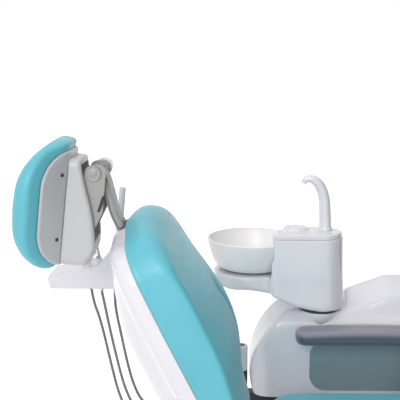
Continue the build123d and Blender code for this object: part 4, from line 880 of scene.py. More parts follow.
def rounded_outline(corners: Sequence[Corner], step: float = 0.008) -> list[Point2]:
    """Closed outline with rounded corners, evenly stepped.

    Args:
        corners: x, y and corner radius of each corner, counter-clockwise.
        step: Distance between neighbouring points.

    Returns:
        Points of the outline, counter-clockwise.
    """
    path: list[Vector] = []
    count = len(corners)
    for index in range(count):
        here = Vector(corners[index][:2])
        radius = corners[index][2]
        to_last = (Vector(corners[index - 1][:2]) - here).normalized()
        to_next = (Vector(corners[(index + 1) % count][:2]) - here).normalized()
        half = to_last.angle(to_next) / 2
        if radius <= 0 or half > math.radians(89.9):
            path.append(here)
            continue
        reach = radius / math.tan(half)
        centre = here + (to_last + to_next).normalized() * radius / math.sin(half)
        start = here + to_last * reach - centre
        end = here + to_next * reach - centre
        turn = math.atan2(start.x * end.y - start.y * end.x, start.dot(end))
        pieces = max(3, int(abs(turn) * radius / step))
        for piece in range(pieces + 1):
            angle = turn * piece / pieces
            path.append(centre + Vector((start.x * math.cos(angle) - start.y * math.sin(angle),
                                         start.x * math.sin(angle) + start.y * math.cos(angle))))
    outline: list[Point2] = []
    for index, point in enumerate(path):
        onward = path[(index + 1) % len(path)] - point
        pieces = max(1, round(onward.length / step))
        outline.extend(tuple(point + onward * piece / pieces) for piece in range(pieces))
    return outline


class MeshDraft:
    """Collects rings of points and turns them into one mesh object."""

    def __init__(self) -> None:
        """Start an empty mesh."""
        self.mesh = bmesh.new()

    def ring(self, points: Sequence[Vector]) -> list[bmesh.types.BMVert]:
        """Add one ring of points and return its vertices."""
        return [self.mesh.verts.new(point) for point in points]

    def bridge(self, first: Sequence[bmesh.types.BMVert], second: Sequence[bmesh.types.BMVert]) -> None:
        """Join two closed rings of equal length with quads.

        Args:
            first: One ring.
            second: The other.
        """
        count = len(first)
        for index in range(count):
            after = (index + 1) % count
            self.mesh.faces.new((first[index], first[after], second[after], second[index]))

    def cap(self, ring: Sequence[bmesh.types.BMVert], flip: bool = False) -> None:
        """Close a ring with a fan of triangles.

        Args:
            ring: The ring.
            flip: Turn the fan the other way round.
        """
        middle = self.mesh.verts.new(sum((vert.co for vert in ring), Vector()) / len(ring))
        for index, vert in enumerate(ring):
            after = ring[(index + 1) % len(ring)]
            self.mesh.faces.new((after, vert, middle) if flip else (vert, after, middle))

    def loft(self, rings: Sequence[Sequence[bmesh.types.BMVert]], hollow: bool = False) -> None:
        """Join rings of equal length into one closed skin.

        Args:
            rings: The rings in order.
            hollow: Join the last ring to the first in place of closing both.
        """
        for first, second in zip(rings, rings[1:]):
            self.bridge(first, second)
        if hollow:
            self.bridge(rings[-1], rings[0])
        else:
            self.cap(rings[0], flip=True)
            self.cap(rings[-1])

    def turn(self, lies: PadFrame, profile: Sequence[Point2], segments: int, hollow: bool = False) -> None:
        """Turn a profile of radius and height about an axis.

        Args:
            lies: Its origin is a point of the axis and its out the axis's direction.
            profile: Radius and height above the origin of each point.
            segments: Steps of the turn.
            hollow: Join the profile's last point to its first in place of closing both on the axis.
        """
        turns = [math.tau * step / segments for step in range(segments)]
        self.loft([
            self.ring([lies.place(radius * math.cos(angle), radius * math.sin(angle), height)
                       for angle in turns])
            for radius, height in profile
        ], hollow)

    def relax(self, passes: int, held: Sequence[Sequence[bmesh.types.BMVert]] = ()) -> None:
        """Even out the curvature of the mesh.

        Args:
            passes: Number of smoothing passes.
            held: Rings that stay where they are.
        """
        still = {vert for ring in held for vert in ring}
        relax_vertices(self.mesh, [vert for vert in self.mesh.verts if vert not in still], passes)

    def finish(self, name: str, material: bpy.types.Material) -> bpy.types.Object:
        """Make the object.

        Args:
            name: Name of the piece.
            material: Its finish.

        Returns:
            The smooth-shaded object.
        """
        bmesh.ops.recalc_face_normals(self.mesh, faces=self.mesh.faces)
        data = bpy.data.meshes.new(name)
        self.mesh.to_mesh(data)
        self.mesh.free()
        data.shade_smooth()
        data.materials.append(material)
        piece = bpy.data.objects.new(name, data)
        bpy.context.scene.collection.objects.link(piece)
        return piece


def relax_vertices(mesh: bmesh.types.BMesh, free: Sequence[bmesh.types.BMVert], passes: int) -> None:
    """Move vertices towards the middle of their neighbours.

    Args:
        mesh: The mesh.
        free: The vertices that may move.
        passes: Number of smoothing passes.
    """
    for _ in range(passes):
        bmesh.ops.smooth_vert(mesh, verts=free, factor=0.5, use_axis_x=True, use_axis_y=True, use_axis_z=True)


# A pad's rings in their order: rows of the back, the rear edge, the side band, the front edge and rows of the
# front. The innermost row of the back and of the front comes this near to the pad's spine.
REAR_ROWS = 12
REAR_EDGE_STEPS = 5
BAND_STEPS = 12
FRONT_EDGE_STEPS = 9
FRONT_ROWS = 26
CLOSING_SHARE = 0.97


@dataclass
class Pad:
    """An upholstered pad: flat back, side band, rounded edges and a crowned front.

    Attributes:
        name: Name of the piece.
        lies: Where the pad lies.
        outline: Corners of its outline with their radii.
        back: Height of its back.
        front: Height of its front.
        front_radius: Radius of the front edge, as a function of a and b.
        back_radius: Radius of the back edge, as a function of a and b.
        bulge: How far the side band swells, as a function of a and b.
        spine: Lowest and highest b of the line that the front's rings close on.
        seam_depth: Depth of the sewn seam round the pad, or 0 for none.
        seam_height: Height of that seam above the back edge.
        step: Distance between the points of the outline.
        smoothing: Passes that even out the curvature.
        crisp_back: Keep the rear edge sharp where it lies against another piece.
    """

    name: str
    lies: PadFrame
    outline: Sequence[Corner]
    back: HeightField
    front: HeightField
    front_radius: HeightField
    back_radius: HeightField
    bulge: HeightField
    spine: Point2
    seam_depth: float = 0.0012
    seam_height: float = 0.012
    step: float = 0.006
    smoothing: int = 14
    crisp_back: bool = False

    def _edge(self, spot: Vector, inward: Vector) -> list[Point2]:
        """Edge profile at one point of the outline.

        Args:
            spot: Point of the outline.
            inward: Unit direction into the pad.

        Returns:
            Pairs of inset and height, from the back to the front.
        """
        rear, near = self.back_radius(*spot), self.front_radius(*spot)
        low = self.back(*spot)
        high = self.front(*(spot + inward * near))
        swell = self.bulge(*spot)
        foot, head = low + rear, high - near
        rear_turns = [math.pi / 2 * step / REAR_EDGE_STEPS for step in range(REAR_EDGE_STEPS, 0, -1)]
        front_turns = [math.pi / 2 * step / FRONT_EDGE_STEPS for step in range(1, FRONT_EDGE_STEPS + 1)]
        profile = [(rear * (1 - math.cos(turn)), low + rear * (1 - math.sin(turn))) for turn in rear_turns]
        profile += [(0.0, foot + (head - foot) * band / BAND_STEPS) for band in range(BAND_STEPS + 1)]
        profile += [(near * (1 - math.cos(turn)), head + near * math.sin(turn)) for turn in front_turns]
        return [(inset - swell * math.sin(math.pi * (height - low) / (high - low)), height)
                for inset, height in profile]

    def _closing_row(
        self, spots: Sequence[tuple[Vector, Vector]], inset: HeightField, height: HeightField, share: float
    ) -> list[Vector]:
        """One ring of the front or the back, drawn in towards the spine.

        Args:
            spots: Points of the outline with their unit directions into the pad.
            inset: Distance from the outline to the rim of the front or the back.
            height: Height of the front or the back.
            share: How far the ring is drawn in, from 0 at the rim to 1 at the last row.

        Returns:
            Points of the ring.
        """
        points = []
        for spot, into in spots:
            rim = spot + into * inset(*spot)
            core = Vector((0.0, min(max(spot.y, self.spine[0]), self.spine[1])))
            place = rim.lerp(core, share * CLOSING_SHARE)
            points.append(self.lies.place(place.x, place.y, height(*place)))
        return points

    def build(self, material: bpy.types.Material) -> bpy.types.Object:
        """Make the pad's mesh.

        Args:
            material: Upholstery finish.

        Returns:
            The pad.
        """
        outline = [Vector(spot) for spot in rounded_outline(self.outline, self.step)]
        count = len(outline)
        inward: list[Vector] = []
        for index in range(count):
            along = outline[(index + 1) % count] - outline[index - 1]
            inward.append(Vector((-along.y, along.x)).normalized())
        spots = list(zip(outline, inward))
        edges = [self._edge(spot, into) for spot, into in spots]
        draft = MeshDraft()
        rings = [draft.ring(self._closing_row(spots, self.back_radius, self.back, row / REAR_ROWS))
                 for row in range(REAR_ROWS, 0, -1)]
        for level in range(len(edges[0])):
            points = []
            for (spot, into), edge in zip(spots, edges):
                place = spot + into * edge[level][0]
                points.append(self.lies.place(place.x, place.y, edge[level][1]))
            rings.append(draft.ring(points))
        rings += [draft.ring(self._closing_row(spots, self.front_radius, self.front, row / FRONT_ROWS))
                  for row in range(1, FRONT_ROWS + 1)]
        draft.loft(rings)
        rear_edge = rings[REAR_ROWS - 2:REAR_ROWS + REAR_EDGE_STEPS]
        draft.relax(self.smoothing, rear_edge if self.crisp_back else ())
        if self.seam_depth > 0:
            self._sew(rings, inward)
        return draft.finish(self.name, material)

    def _sew(self, rings: Sequence[Sequence[bmesh.types.BMVert]], inward: Sequence[Vector]) -> None:
        """Draw one ring of the side band in, as a sewn seam does.

        Args:
            rings: Rings of the pad from the back to the middle of the front.
            inward: Unit directions into the pad.
        """
        across, along = Vector(self.lies.across), Vector(self.lies.along)
        out, origin = Vector(self.lies.out), Vector(self.lies.origin)
        side = rings[REAR_ROWS:REAR_ROWS + REAR_EDGE_STEPS + BAND_STEPS + 2]
        heights = [sum((vert.co - origin).dot(out) for vert in ring) / len(ring) for ring in side]
        misses = [abs(height - heights[0] - self.seam_height) for height in heights]
        for index, vert in enumerate(side[misses.index(min(misses))]):
            gather = 1.0 + 0.25 * math.sin(index * 2.4 + 1.7 * math.sin(index * 0.31))
            into = inward[index]
            vert.co += (across * into.x + along * into.y) * self.seam_depth * gather


@dataclass
class Upholstery:
    """The four cushions and the two armrest pads.

    Attributes:
        back_half: Half width of the backrest at the waist.
        back_top_half: Half width of the backrest at the shoulders.
        seat_half: Half width of the seat and leg cushions.
        seat_top: Height of the seat cushion's top.
        deck: Height of the deck that the cushions lie on.
        head_half: Half width of the headrest pad.
        head_gap: Distance from the headrest shell's back to the pad.
        arm_half: Half length of an armrest pad.
        arm_half_width: Half width of an armrest pad.
        arm_top: Height of an armrest pad's top.
        arm_middle: X of the armrest pads' middle.
        arm_side: Y of the left armrest pad's middle.
    """

    back_half: float = 0.2445
    back_top_half: float = 0.2255
    seat_half: float = 0.2355
    seat_top: float = 0.4935
    deck: float = 0.4024
    head_half: float = 0.149
    head_gap: float = 0.0126
    arm_half: float = 0.2068
    arm_half_width: float = 0.0385
    arm_top: float = 0.6525
    arm_middle: float = 0.0235
    arm_side: float = 0.301

    def build(self, palette: Palette, effects: SharedEffects) -> None:
        """Make every pad and put it in place of its plain solid.

        Args:
            palette: The finishes.
            effects: Shared groups.
        """
        vinyl = palette.vinyl.material(effects)
        skin = palette.armrest.material(effects)
        for pad, node, body, fill in (
            (self.back_pad(), "back_cushion", "back", 0.85),
            (self.seat_pad(), "seat_cushion", "seat", 0.85),
            (self.leg_pad(), "leg_cushion", "seat", 0.85),
            (self.head_pad(), "headrest_cushion", "headrest", 0.9),
        ):
            piece = pad.build(vinyl)
            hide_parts(node)
            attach(piece, body)
            LOG.info("built %s", piece.name)
        for pad, node, body in (
            (self.armrest(self.arm_side, "left_armrest"), "armrest_pad_left", "seat"),
            (self.armrest(-self.arm_side, "right_armrest"), "armrest_pad_right", "right_armrest"),
        ):
            piece = pad.build(skin)
            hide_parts(node)
            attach(piece, body)
            LOG.info("built %s", piece.name)

    def _crown(self, a: float) -> float:
        """Share of the seat's and leg rest's crown at a distance from their middle."""
        return 1 - min(1.0, abs(a) / self.seat_half) ** 2.5

    def back_pad(self) -> Pad:
        """Backrest cushion: side band, lumbar crown and a domed top.

        Returns:
            The pad.
        """
        rim = through([(0.028, 0.024), (0.10, 0.037), (0.151, 0.045), (0.236, 0.058), (0.305, 0.068),
                       (0.43, 0.073), (0.52, 0.070), (0.60, 0.067), (0.664, 0.064)])
        middle = through([(0.028, 0.0), (0.10, 0.005), (0.151, 0.014), (0.194, 0.020), (0.247, 0.034),
                          (0.298, 0.044), (0.368, 0.050), (0.43, 0.043), (0.527, 0.025), (0.599, 0.014),
                          (0.664, 0.006)])

        def front(a: float, b: float) -> float:
            """Height of the crowned front."""
            return rim(b) + middle(b) * (1.0 - min(1.0, abs(a) / self.back_half) ** 2.0)

        return Pad(
            name="backrest_cushion",
            lies=PadFrame(BACK_FOOT, RIGHT, BACK_UP, BACK_OUT),
            outline=back_outline(self.back_half, self.back_top_half, 0.630, 0.098, 0.676),
            back=lambda a, b: -0.0034 - back_rim(a, b),
            front=front,
            front_radius=lambda _a, b: 0.013 + 0.026 * smooth_step(b, 0.5, 0.655),
            back_radius=constant(0.0025),
            bulge=lambda _a, b: 0.0015 + 0.012 * smooth_step(b, 0.6, 0.665),
            spine=(0.25, 0.44),
            crisp_back=True,
        )

    def seat_pad(self) -> Pad:
        """Seat cushion: soft crown and a rounded rear edge.

        Returns:
            The pad.
        """
        def front(a: float, b: float) -> float:
            """Height of the crowned top."""
            crown = 0.013 * self._crown(a) * smooth_step(0.29 - abs(b + 0.02), 0.0, 0.16)
            return self.seat_top - 0.010 + crown

        return Pad(
            name="seat_pad",
            lies=PadFrame((0.0, 0.0, 0.0), LEFT, REARWARD, UP),
            outline=box_outline(self.seat_half, -0.2975, 0.262, 0.014, 0.05),
            back=constant(self.deck),
            front=front,
            front_radius=lambda _a, b: 0.018 + 0.014 * smooth_step(b, 0.16, 0.25),
            back_radius=constant(0.008),
            bulge=constant(0.0025),
            spine=(-0.08, 0.05),
        )

    def leg_pad(self) -> Pad:
        """Leg cushion on the falling deck, thinner towards the toes.

        Returns:
            The pad.
        """
        down: Point3 = (math.cos(LEG_SLOPE), 0.0, -math.sin(LEG_SLOPE))
        up: Point3 = (math.sin(LEG_SLOPE), 0.0, math.cos(LEG_SLOPE))
        thick = through([(0.0, 0.0715), (0.2, 0.069), (0.42, 0.064), (0.6, 0.059)])

        def front(a: float, b: float) -> float:
            """Height of the crowned top."""
            return thick(b) - 0.003 + 0.011 * self._crown(a) * smooth_step(0.28 - abs(b - 0.3), 0.0, 0.16)

        return Pad(
            name="leg_pad",
            lies=PadFrame((0.3, 0.0, self.deck), RIGHT, down, up),
            outline=box_outline(self.seat_half, 0.0145, 0.590, 0.014, 0.06),
            back=constant(0.001),
            front=front,
            front_radius=lambda _a, b: 0.018 + 0.012 * smooth_step(b, 0.48, 0.57),
            back_radius=constant(0.008),
            bulge=constant(0.0025),
            spine=(0.2, 0.38),
        )

    def head_pad(self) -> Pad:
        """Headrest pad: a crescent that follows the swept shell, rounded all over.

        Returns:
            The pad.
        """
        def front(a: float, b: float) -> float:
            """Height of the front, less towards the pad's ends and its swept sides."""
            thickness = 0.073 - 0.006 * (a / self.head_half) ** 2 - 0.026 * ((b - 0.004) / 0.15) ** 2
            return self.head_gap + head_sweep(a) + thickness

        return Pad(
            name="headrest_pad",
            lies=PadFrame(HEAD_MIDDLE, RIGHT, HEAD_UP, reverse(HEAD_OUT)),
            outline=box_outline(self.head_half, -0.147, 0.158, 0.1, 0.11),
            back=lambda a, b: self.head_gap + head_sweep(a) - 0.012 * smooth_step(b, 0.136, 0.150),
            front=front,
            front_radius=constant(0.030),
            back_radius=constant(0.009),
            bulge=constant(0.005),
            spine=(-0.03, 0.04),
            seam_depth=0.0,
            step=0.005,
            smoothing=20,
        )

    def armrest(self, middle: float, name: str) -> Pad:
        """Armrest pad: slightly arched, with a firm rounded edge.

        Args:
            middle: Y of its centre line.
            name: Name of the piece.

        Returns:
            The pad.
        """
        def front(a: float, b: float) -> float:
            """Height of the arched top."""
            return self.arm_top - 0.0075 * (b / self.arm_half) ** 2 - 0.001 * (a / self.arm_half_width) ** 2

        return Pad(
            name=name,
            lies=PadFrame((self.arm_middle, middle, 0.0), LEFT, REARWARD, UP),
            outline=box_outline(self.arm_half_width, -self.arm_half, self.arm_half, 0.026, 0.026),
            back=constant(0.6065),
            front=front,
            front_radius=constant(0.016),
            back_radius=constant(0.012),
            bulge=constant(0.0006),
            spine=(-0.16, 0.16),
            seam_depth=0.0,
            step=0.005,
            smoothing=3,
        )


# ---------------------------------------------------------------- moulded forms
def curve_through(points: Sequence[Point3], per_span: int = 10) -> list[Vector]:
    """Smooth line through a few points.

    Args:
        points: The points.
        per_span: Steps between two of them.

    Returns:
        Points along the line.
    """
    spots = [Vector(point) for point in points]
    line: list[Vector] = []
    for index in range(len(spots) - 1):
        start, end = spots[index], spots[index + 1]
        before = spots[index - 1] if index else start * 2 - end
        after = spots[index + 2] if index + 2 < len(spots) else end * 2 - start
        for step in range(per_span):
            t = step / per_span
            line.append(0.5 * (
                2 * start + (end - before) * t + (2 * before - 5 * start + 4 * end - after) * t**2
                + (3 * start - 3 * end + after - before) * t**3
            ))
    line.append(spots[-1])
    return line


def sweep(
    name: str, line: Sequence[Vector], section: Callable[[float], Sequence[Point2]],
    material: bpy.types.Material,
) -> bpy.types.Object:
    """Carry a section along a line that lies in an upright plane along X.

    Args:
        name: Name of the piece.
        line: Points of the centre line.
        section: Gives the section's points, in plane and across it, at a share of the line.
        material: Finish.

    Returns:
        The piece.
    """
    draft = MeshDraft()
    sideways = Vector(LEFT)
    rings = []
    for index, spot in enumerate(line):
        ahead = line[min(index + 1, len(line) - 1)] - line[max(index - 1, 0)]
        normal = sideways.cross(ahead.normalized())
        rings.append(draft.ring([spot + normal * along + sideways * aside
                                 for along, aside in section(index / (len(line) - 1))]))
    draft.loft(rings)
    return draft.finish(name, material)


def softened(
    node: str, name: str, material: bpy.types.Material, voxel: float, passes: int,
    warp: Optional[Callable[[Vector], Vector]] = None, held: Optional[Callable[[Vector], bool]] = None,
) -> bpy.types.Object:
    """A copy of a solid moulding with blended corners in place of sharp ones.

    Args:
        node: The solid.
        name: Name of the new piece.
        material: Finish.
        voxel: Size of the cells of the new surface.
        passes: Smoothing passes.
        warp: Moves each point before the smoothing.
        held: Tells which points the smoothing leaves alone.

    Returns:
        The piece; the solid is hidden.
    """
    source = bpy.data.objects[node]
    data = source.data.copy()
    data.transform(source.matrix_world)
    piece = bpy.data.objects.new(name, data)
    bpy.context.scene.collection.objects.link(piece)
    remesh = piece.modifiers.new("cells", "REMESH")
    remesh.mode = "VOXEL"
    remesh.voxel_size = voxel
    ready = bpy.data.meshes.new_from_object(piece.evaluated_get(bpy.context.evaluated_depsgraph_get()))
    piece.modifiers.clear()
    draft = bmesh.new()
    draft.from_mesh(ready)
    if warp is not None:
        for vert in draft.verts:
            vert.co = warp(vert.co)
    relax_vertices(draft, [vert for vert in draft.verts if held is None or not held(vert.co)], passes)
    draft.to_mesh(ready)
    draft.free()
    ready.shade_smooth()
    ready.materials.clear()
    ready.materials.append(material)
    piece.data = ready
    ready.name = name
    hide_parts(node)
    return piece


def cut_box(piece: bpy.types.Object, lies: PadFrame, low: Point3, high: Point3) -> None:
    """Cut a box-shaped opening out of a piece.

    Args:
        piece: The piece.
        lies: Frame of the box.
        low: Its lowest corner.
        high: Its highest corner.
    """
    draft = bmesh.new()
    bmesh.ops.create_cube(draft, size=1.0)
    for vert in draft.verts:
        share = vert.co + Vector((0.5, 0.5, 0.5))
        vert.co = lies.place(*(low[axis] + (high[axis] - low[axis]) * share[axis] for axis in range(3)))
    bmesh.ops.recalc_face_normals(draft, faces=draft.faces)
    data = bpy.data.meshes.new("cutter")
    draft.to_mesh(data)
    draft.free()
    cutter = bpy.data.objects.new("cutter", data)
    bpy.context.scene.collection.objects.link(cutter)
    cut = piece.modifiers.new("cut", "BOOLEAN")
    cut.operation = "DIFFERENCE"
    cut.solver = "EXACT"
    cut.object = cutter
    bpy.context.view_layer.update()
    ready = bpy.data.meshes.new_from_object(piece.evaluated_get(bpy.context.evaluated_depsgraph_get()))
    piece.modifiers.clear()
    piece.data = ready
    bpy.data.objects.remove(cutter)
    bpy.data.meshes.remove(data)


@dataclass
class BackShell:
    """Glossy rear moulding of the backrest, with the stem's collar.

    Attributes:
        half: Half width at the waist.
        top_half: Half width at the shoulders.
        side_depth: Depth at the sides.
        foot_half: Half width of the slot at the foot.
        foot_height: Height of that slot.
        collar_half: Half width of the collar across the stem.
        collar_depth: Half depth of the collar.
        collar_foot: Distance of the collar's underside from the backrest's foot.
    """

    half: float = 0.2445
    top_half: float = 0.2255
    side_depth: float = 0.046
    foot_half: float = 0.124
    foot_height: float = 0.056
    collar_half: float = 0.039
    collar_depth: float = 0.019
    collar_foot: float = 0.60

    def build(self, palette: Palette, effects: SharedEffects) -> None:
        """Make the shell and the collar.

        Args:
            palette: The finishes.
            effects: Shared groups.
        """
        shell = self._shell(palette.shell.material(effects))
        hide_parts("back_shell")
        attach(shell, "back")
        collar = self._collar(palette.rubber.material(effects))
        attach(collar, "back")
        for piece in (shell, collar):
            LOG.info("built %s", piece.name)

    def _shell(self, material: bpy.types.Material) -> bpy.types.Object:
        """Bowed moulding with a slot at its foot for the back frame.

        Args:
            material: Finish of the shell.

        Returns:
            The shell.
        """
        middle = through([(0.028, 0.060), (0.06, 0.088), (0.10, 0.109), (0.15, 0.121), (0.2, 0.126),
                          (0.3, 0.128), (0.42, 0.125), (0.5, 0.110), (0.56, 0.092), (0.62, 0.067),
                          (0.664, 0.050)])

        def depth(a: float, b: float) -> float:
            """Depth of the shell behind the cushion."""
            return self.side_depth + (middle(b) - self.side_depth) * (1.0 - smooth_step(abs(a), 0.10, 0.252))

        lies = PadFrame(BACK_FOOT, LEFT, BACK_UP, reverse(BACK_OUT))
        shell = Pad(
            name="backrest_shell",
            lies=lies,
            outline=back_outline(self.half, self.top_half, 0.628, 0.1, 0.670),
            back=lambda a, b: 0.0040 + back_rim(a, b),
            front=depth,
            front_radius=lambda _a, b: 0.034 - 0.010 * smooth_step(b, 0.5, 0.65),
            back_radius=constant(0.0012),
            bulge=constant(0.0),
            spine=(0.2, 0.46),
            seam_depth=0.0,
            smoothing=12,
            crisp_back=True,
        ).build(material)
        cut_box(shell, lies, (-self.foot_half, 0.0, -0.02), (self.foot_half, self.foot_height, 0.09))
        return shell

    def _collar(self, material: bpy.types.Material) -> bpy.types.Object:
        """Rubber collar where the stem leaves the shell.

        Args:
            material: Finish of the collar.

        Returns:
            The collar.
        """
        depth, half, radius = self.collar_depth, self.collar_half, 0.012
        return Pad(
            name="stem_collar",
            lies=PadFrame((-0.3503, 0.0, 0.4223), BACK_OUT, LEFT, BACK_UP),
            outline=box_outline(depth, -half, half, radius, radius),
            back=constant(self.collar_foot),
            front=lambda a, _b: self.collar_foot + 0.064 + 0.35 * a,
            front_radius=constant(0.004),
            back_radius=constant(0.003),
            bulge=constant(0.0),
            spine=(-0.03, 0.03),
            seam_depth=0.0,
            step=0.003,
            smoothing=2,
        ).build(material)


@dataclass
class Headrest:
    """Shell, stem and hinge details of the headrest.

    Attributes:
        shell_half: Half width of the swept shell.
        housing_half: Half width of the raised housing.
        slot_half: Half width of the slot for the link.
        stem_half: Half width of the stem.
        flange: Thickness of the stem's flanges.
        pivot: Side view place of the upper pivot.
        drum: Side view place of the second drum.
        drum_face: Distance of the drums' faces from the middle.
        slot_foot: Side view place of the link slot's lower end.
        slot_head: Side view place of its upper end.
        slot_radius: Radius of its ends.
        screw_side: Distance of the screws from the middle.
        screw_rises: Heights of the screws above the shell's middle.
    """

    shell_half: float = 0.131
    housing_half: float = 0.0645
    slot_half: float = 0.0525
    stem_half: float = 0.030
    flange: float = 0.0032
    pivot: Point2 = (-0.697, 1.155)
    drum: Point2 = (-0.7085, 1.152)
    drum_face: float = 0.0491
    slot_foot: Point2 = (-0.6975, 1.062)
    slot_head: Point2 = (-0.6855, 1.095)
    slot_radius: float = 0.0030
    screw_side: float = 0.082
    screw_rises: Point2 = (-0.071, 0.084)

    def build(self, palette: Palette, effects: SharedEffects) -> None:
        """Make the shell, the stem and the hinge details.

        Args:
            palette: The finishes.
            effects: Shared groups.
        """
        moulding = palette.headrest_shell.material(effects)
        plate, housing = self._plate(moulding), self._housing(moulding)
        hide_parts("headrest_shell")
        for piece in (plate, housing):
            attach(piece, "headrest")
            LOG.info("built %s", piece.name)
        self._stem(palette.aluminium.material(effects))
        self._discs(palette.aluminium.material(effects))
        self._screws(palette.bracket.material(effects))
        self._link_slots(palette.bracket.material(effects))

    def _plate(self, material: bpy.types.Material) -> bpy.types.Object:
        """Swept plate with rounded rims.

        Args:
            material: Finish of the plate.

        Returns:
            The plate.
        """
        return Pad(
            name="headrest_shell_plate",
            lies=PadFrame(HEAD_MIDDLE, LEFT, HEAD_UP, reverse(HEAD_OUT)),
            outline=box_outline(self.shell_half, -0.1395, 0.1385, 0.092, 0.086),
            back=lambda a, _b: head_sweep(a),
            front=lambda a, _b: 0.012 + head_sweep(a),
            front_radius=constant(0.003),
            back_radius=constant(0.006),
            bulge=constant(0.0015),
            spine=(-0.03, 0.04),
            seam_depth=0.0,
            step=0.004,
            smoothing=5,
        ).build(material)

    def _housing(self, material: bpy.types.Material) -> bpy.types.Object:
        """Housing that stands out of the plate, with a slot for the link.

        Args:
            material: Finish of the housing.

        Returns:
            The housing.
        """
        crown = through([(-0.134, 0.052), (-0.115, 0.068), (-0.086, 0.0738), (-0.012, 0.0618),
                         (0.081, 0.0318), (0.138, 0.017)])
        lies = PadFrame(HEAD_MIDDLE, LEFT, HEAD_UP, HEAD_OUT)
        housing = Pad(
            name="headrest_housing",
            lies=lies,
            outline=box_outline(self.housing_half, -0.1395, 0.122, 0.022, 0.014),
            back=constant(-0.004),
            front=lambda _a, b: crown(b),
            front_radius=lambda _a, b: (
                0.010 + 0.012 * smooth_step(-b, 0.09, 0.13) - 0.004 * smooth_step(b, 0.1, 0.13)
            ),
            back_radius=constant(0.001),
            bulge=constant(0.0),
            spine=(-0.09, 0.09),
            seam_depth=0.0,
            step=0.004,
            smoothing=5,
        ).build(material)
        cut_box(housing, lies, (-self.slot_half, -0.075, 0.006), (self.slot_half, 0.108, 0.12))
        return housing

    def _stem(self, material: bpy.types.Material) -> None:
        """Cast arm of an I section that bows from the sleeve to the pivot.

        Args:
            material: Finish of the arm.
        """
        back = PadFrame(BACK_FOOT, RIGHT, BACK_UP, BACK_OUT)
        stations = ((-0.0283, 0.48), (-0.0283, 0.60), (-0.0283, 0.68), (-0.0255, 0.712), (-0.0185, 0.742),
                    (-0.0125, 0.776))
        spots = [tuple(back.place(0.0, along, out)) for out, along in stations]
        line = curve_through([*spots, (self.pivot[0], 0.0, self.pivot[1])], 8)
        bevel, wide, flange = 0.001, self.stem_half, self.flange

        def section(share: float) -> list[Point2]:
            """I section, thicker towards the pivot and plain in the sleeve.

            Args:
                share: Share of the arm's length.

            Returns:
                Points in plane and across it.
            """
            half = 0.0095 + 0.0025 * smooth_step(share, 0.6, 1.0)
            web_inset = 0.005 * smooth_step(share, 0.08, 0.14)
            inner = half - flange - 0.0015
            right = [(half - bevel, wide), (half, wide - bevel), (half, -wide + bevel), (half - bevel, -wide)]
            lower = [(half - flange, -wide), (inner, -wide + web_inset), (-inner, -wide + web_inset),
                     (-half + flange, -wide)]
            return right + lower + [(-along, -aside) for along, aside in right + lower]

        stem = sweep("headrest_arm", line, section, material)
        for polygon in stem.data.polygons:
            polygon.use_smooth = False
        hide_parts("headrest_stem")
        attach(stem, "stem")
        LOG.info("built %s", stem.name)

    def _discs(self, material: bpy.types.Material) -> None:
        """Turned discs with a raised rim on the ends of the second drum.

        Args:
            material: Finish of the discs.
        """
        profile = ((0.0186, 0.0), (0.0186, 0.0012), (0.0183, 0.0018), (0.0175, 0.0020), (0.0166, 0.0018),
                   (0.0160, 0.0012), (0.0150, 0.0010), (0.007, 0.0010), (0.0063, 0.0015), (0.0054, 0.0017))
        for name, side in (("drum_disc_near", -1.0), ("drum_disc_far", 1.0)):
            middle = (self.drum[0], side * self.drum_face, self.drum[1])
            draft = MeshDraft()
            draft.turn(PadFrame(middle, (1.0, 0.0, 0.0), UP, (0.0, side, 0.0)), profile, 64)
            disc = draft.finish(name, material)
            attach(disc, "link")
            LOG.info("built %s", disc.name)

    def _link_slots(self, material: bpy.types.Material) -> None:
        """Dark guide slot with round ends on each side of the link.

        Args:
            material: Finish of the slots.
        """
        foot, head = (Vector((x, 0.0, z)) for x, z in (self.slot_foot, self.slot_head))
        ahead = (head - foot).normalized()
        aside = Vector(LEFT).cross(ahead)
        profile = ((0.0, 0.046), (0.0, 0.0492), (0.0006, 0.0496), (0.0012, 0.0490), (0.0016, 0.0480))
        turns = [math.tau * step / 32 for step in range(32)]
        for name, side in (("link_slot_near", -1.0), ("link_slot_far", 1.0)):
            draft = MeshDraft()
            rings = []
            for inset, depth in profile:
                radius, shift = self.slot_radius - inset, Vector((0.0, side * depth, 0.0))
                rings.append(draft.ring([
                    (head if math.sin(turn) > 0 else foot)
                    + (aside * math.cos(turn) + ahead * math.sin(turn)) * radius + shift
                    for turn in turns
                ]))
            draft.loft(rings)
            slot = draft.finish(name, material)
            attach(slot, "link")
            LOG.info("built %s", slot.name)

    def _screws(self, material: bpy.types.Material) -> None:
        """Four recessed screws that hold the pad, two on each side of the housing.

        Args:
            material: Finish of the heads.
        """
        profile = ((0.0048, -0.0008), (0.0048, 0.0016), (0.0040, 0.0024), (0.0026, 0.0027), (0.0020, 0.0014),
                   (0.0008, 0.0012))
        out, up = Vector(HEAD_OUT), Vector(HEAD_UP)
        sweep_here, nudge = head_sweep(self.screw_side), 0.001
        rise_aside = head_sweep(self.screw_side + nudge) - head_sweep(self.screw_side - nudge)
        slope = rise_aside / (2 * nudge)
        draft = MeshDraft()
        for side in (-1, 1):
            normal = (out + Vector((0.0, side * slope, 0.0))).normalized()
            for rise in self.screw_rises:
                spot = Vector(HEAD_MIDDLE) + Vector((0.0, side * self.screw_side, 0.0)) + up * rise
                draft.turn(PadFrame(spot - out * sweep_here, up.cross(normal), up, normal), profile, 24)
        screws = draft.finish("headrest_screw_heads", material)
        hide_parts("headrest_screws")
        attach(screws, "headrest")
        LOG.info("built %s", screws.name)


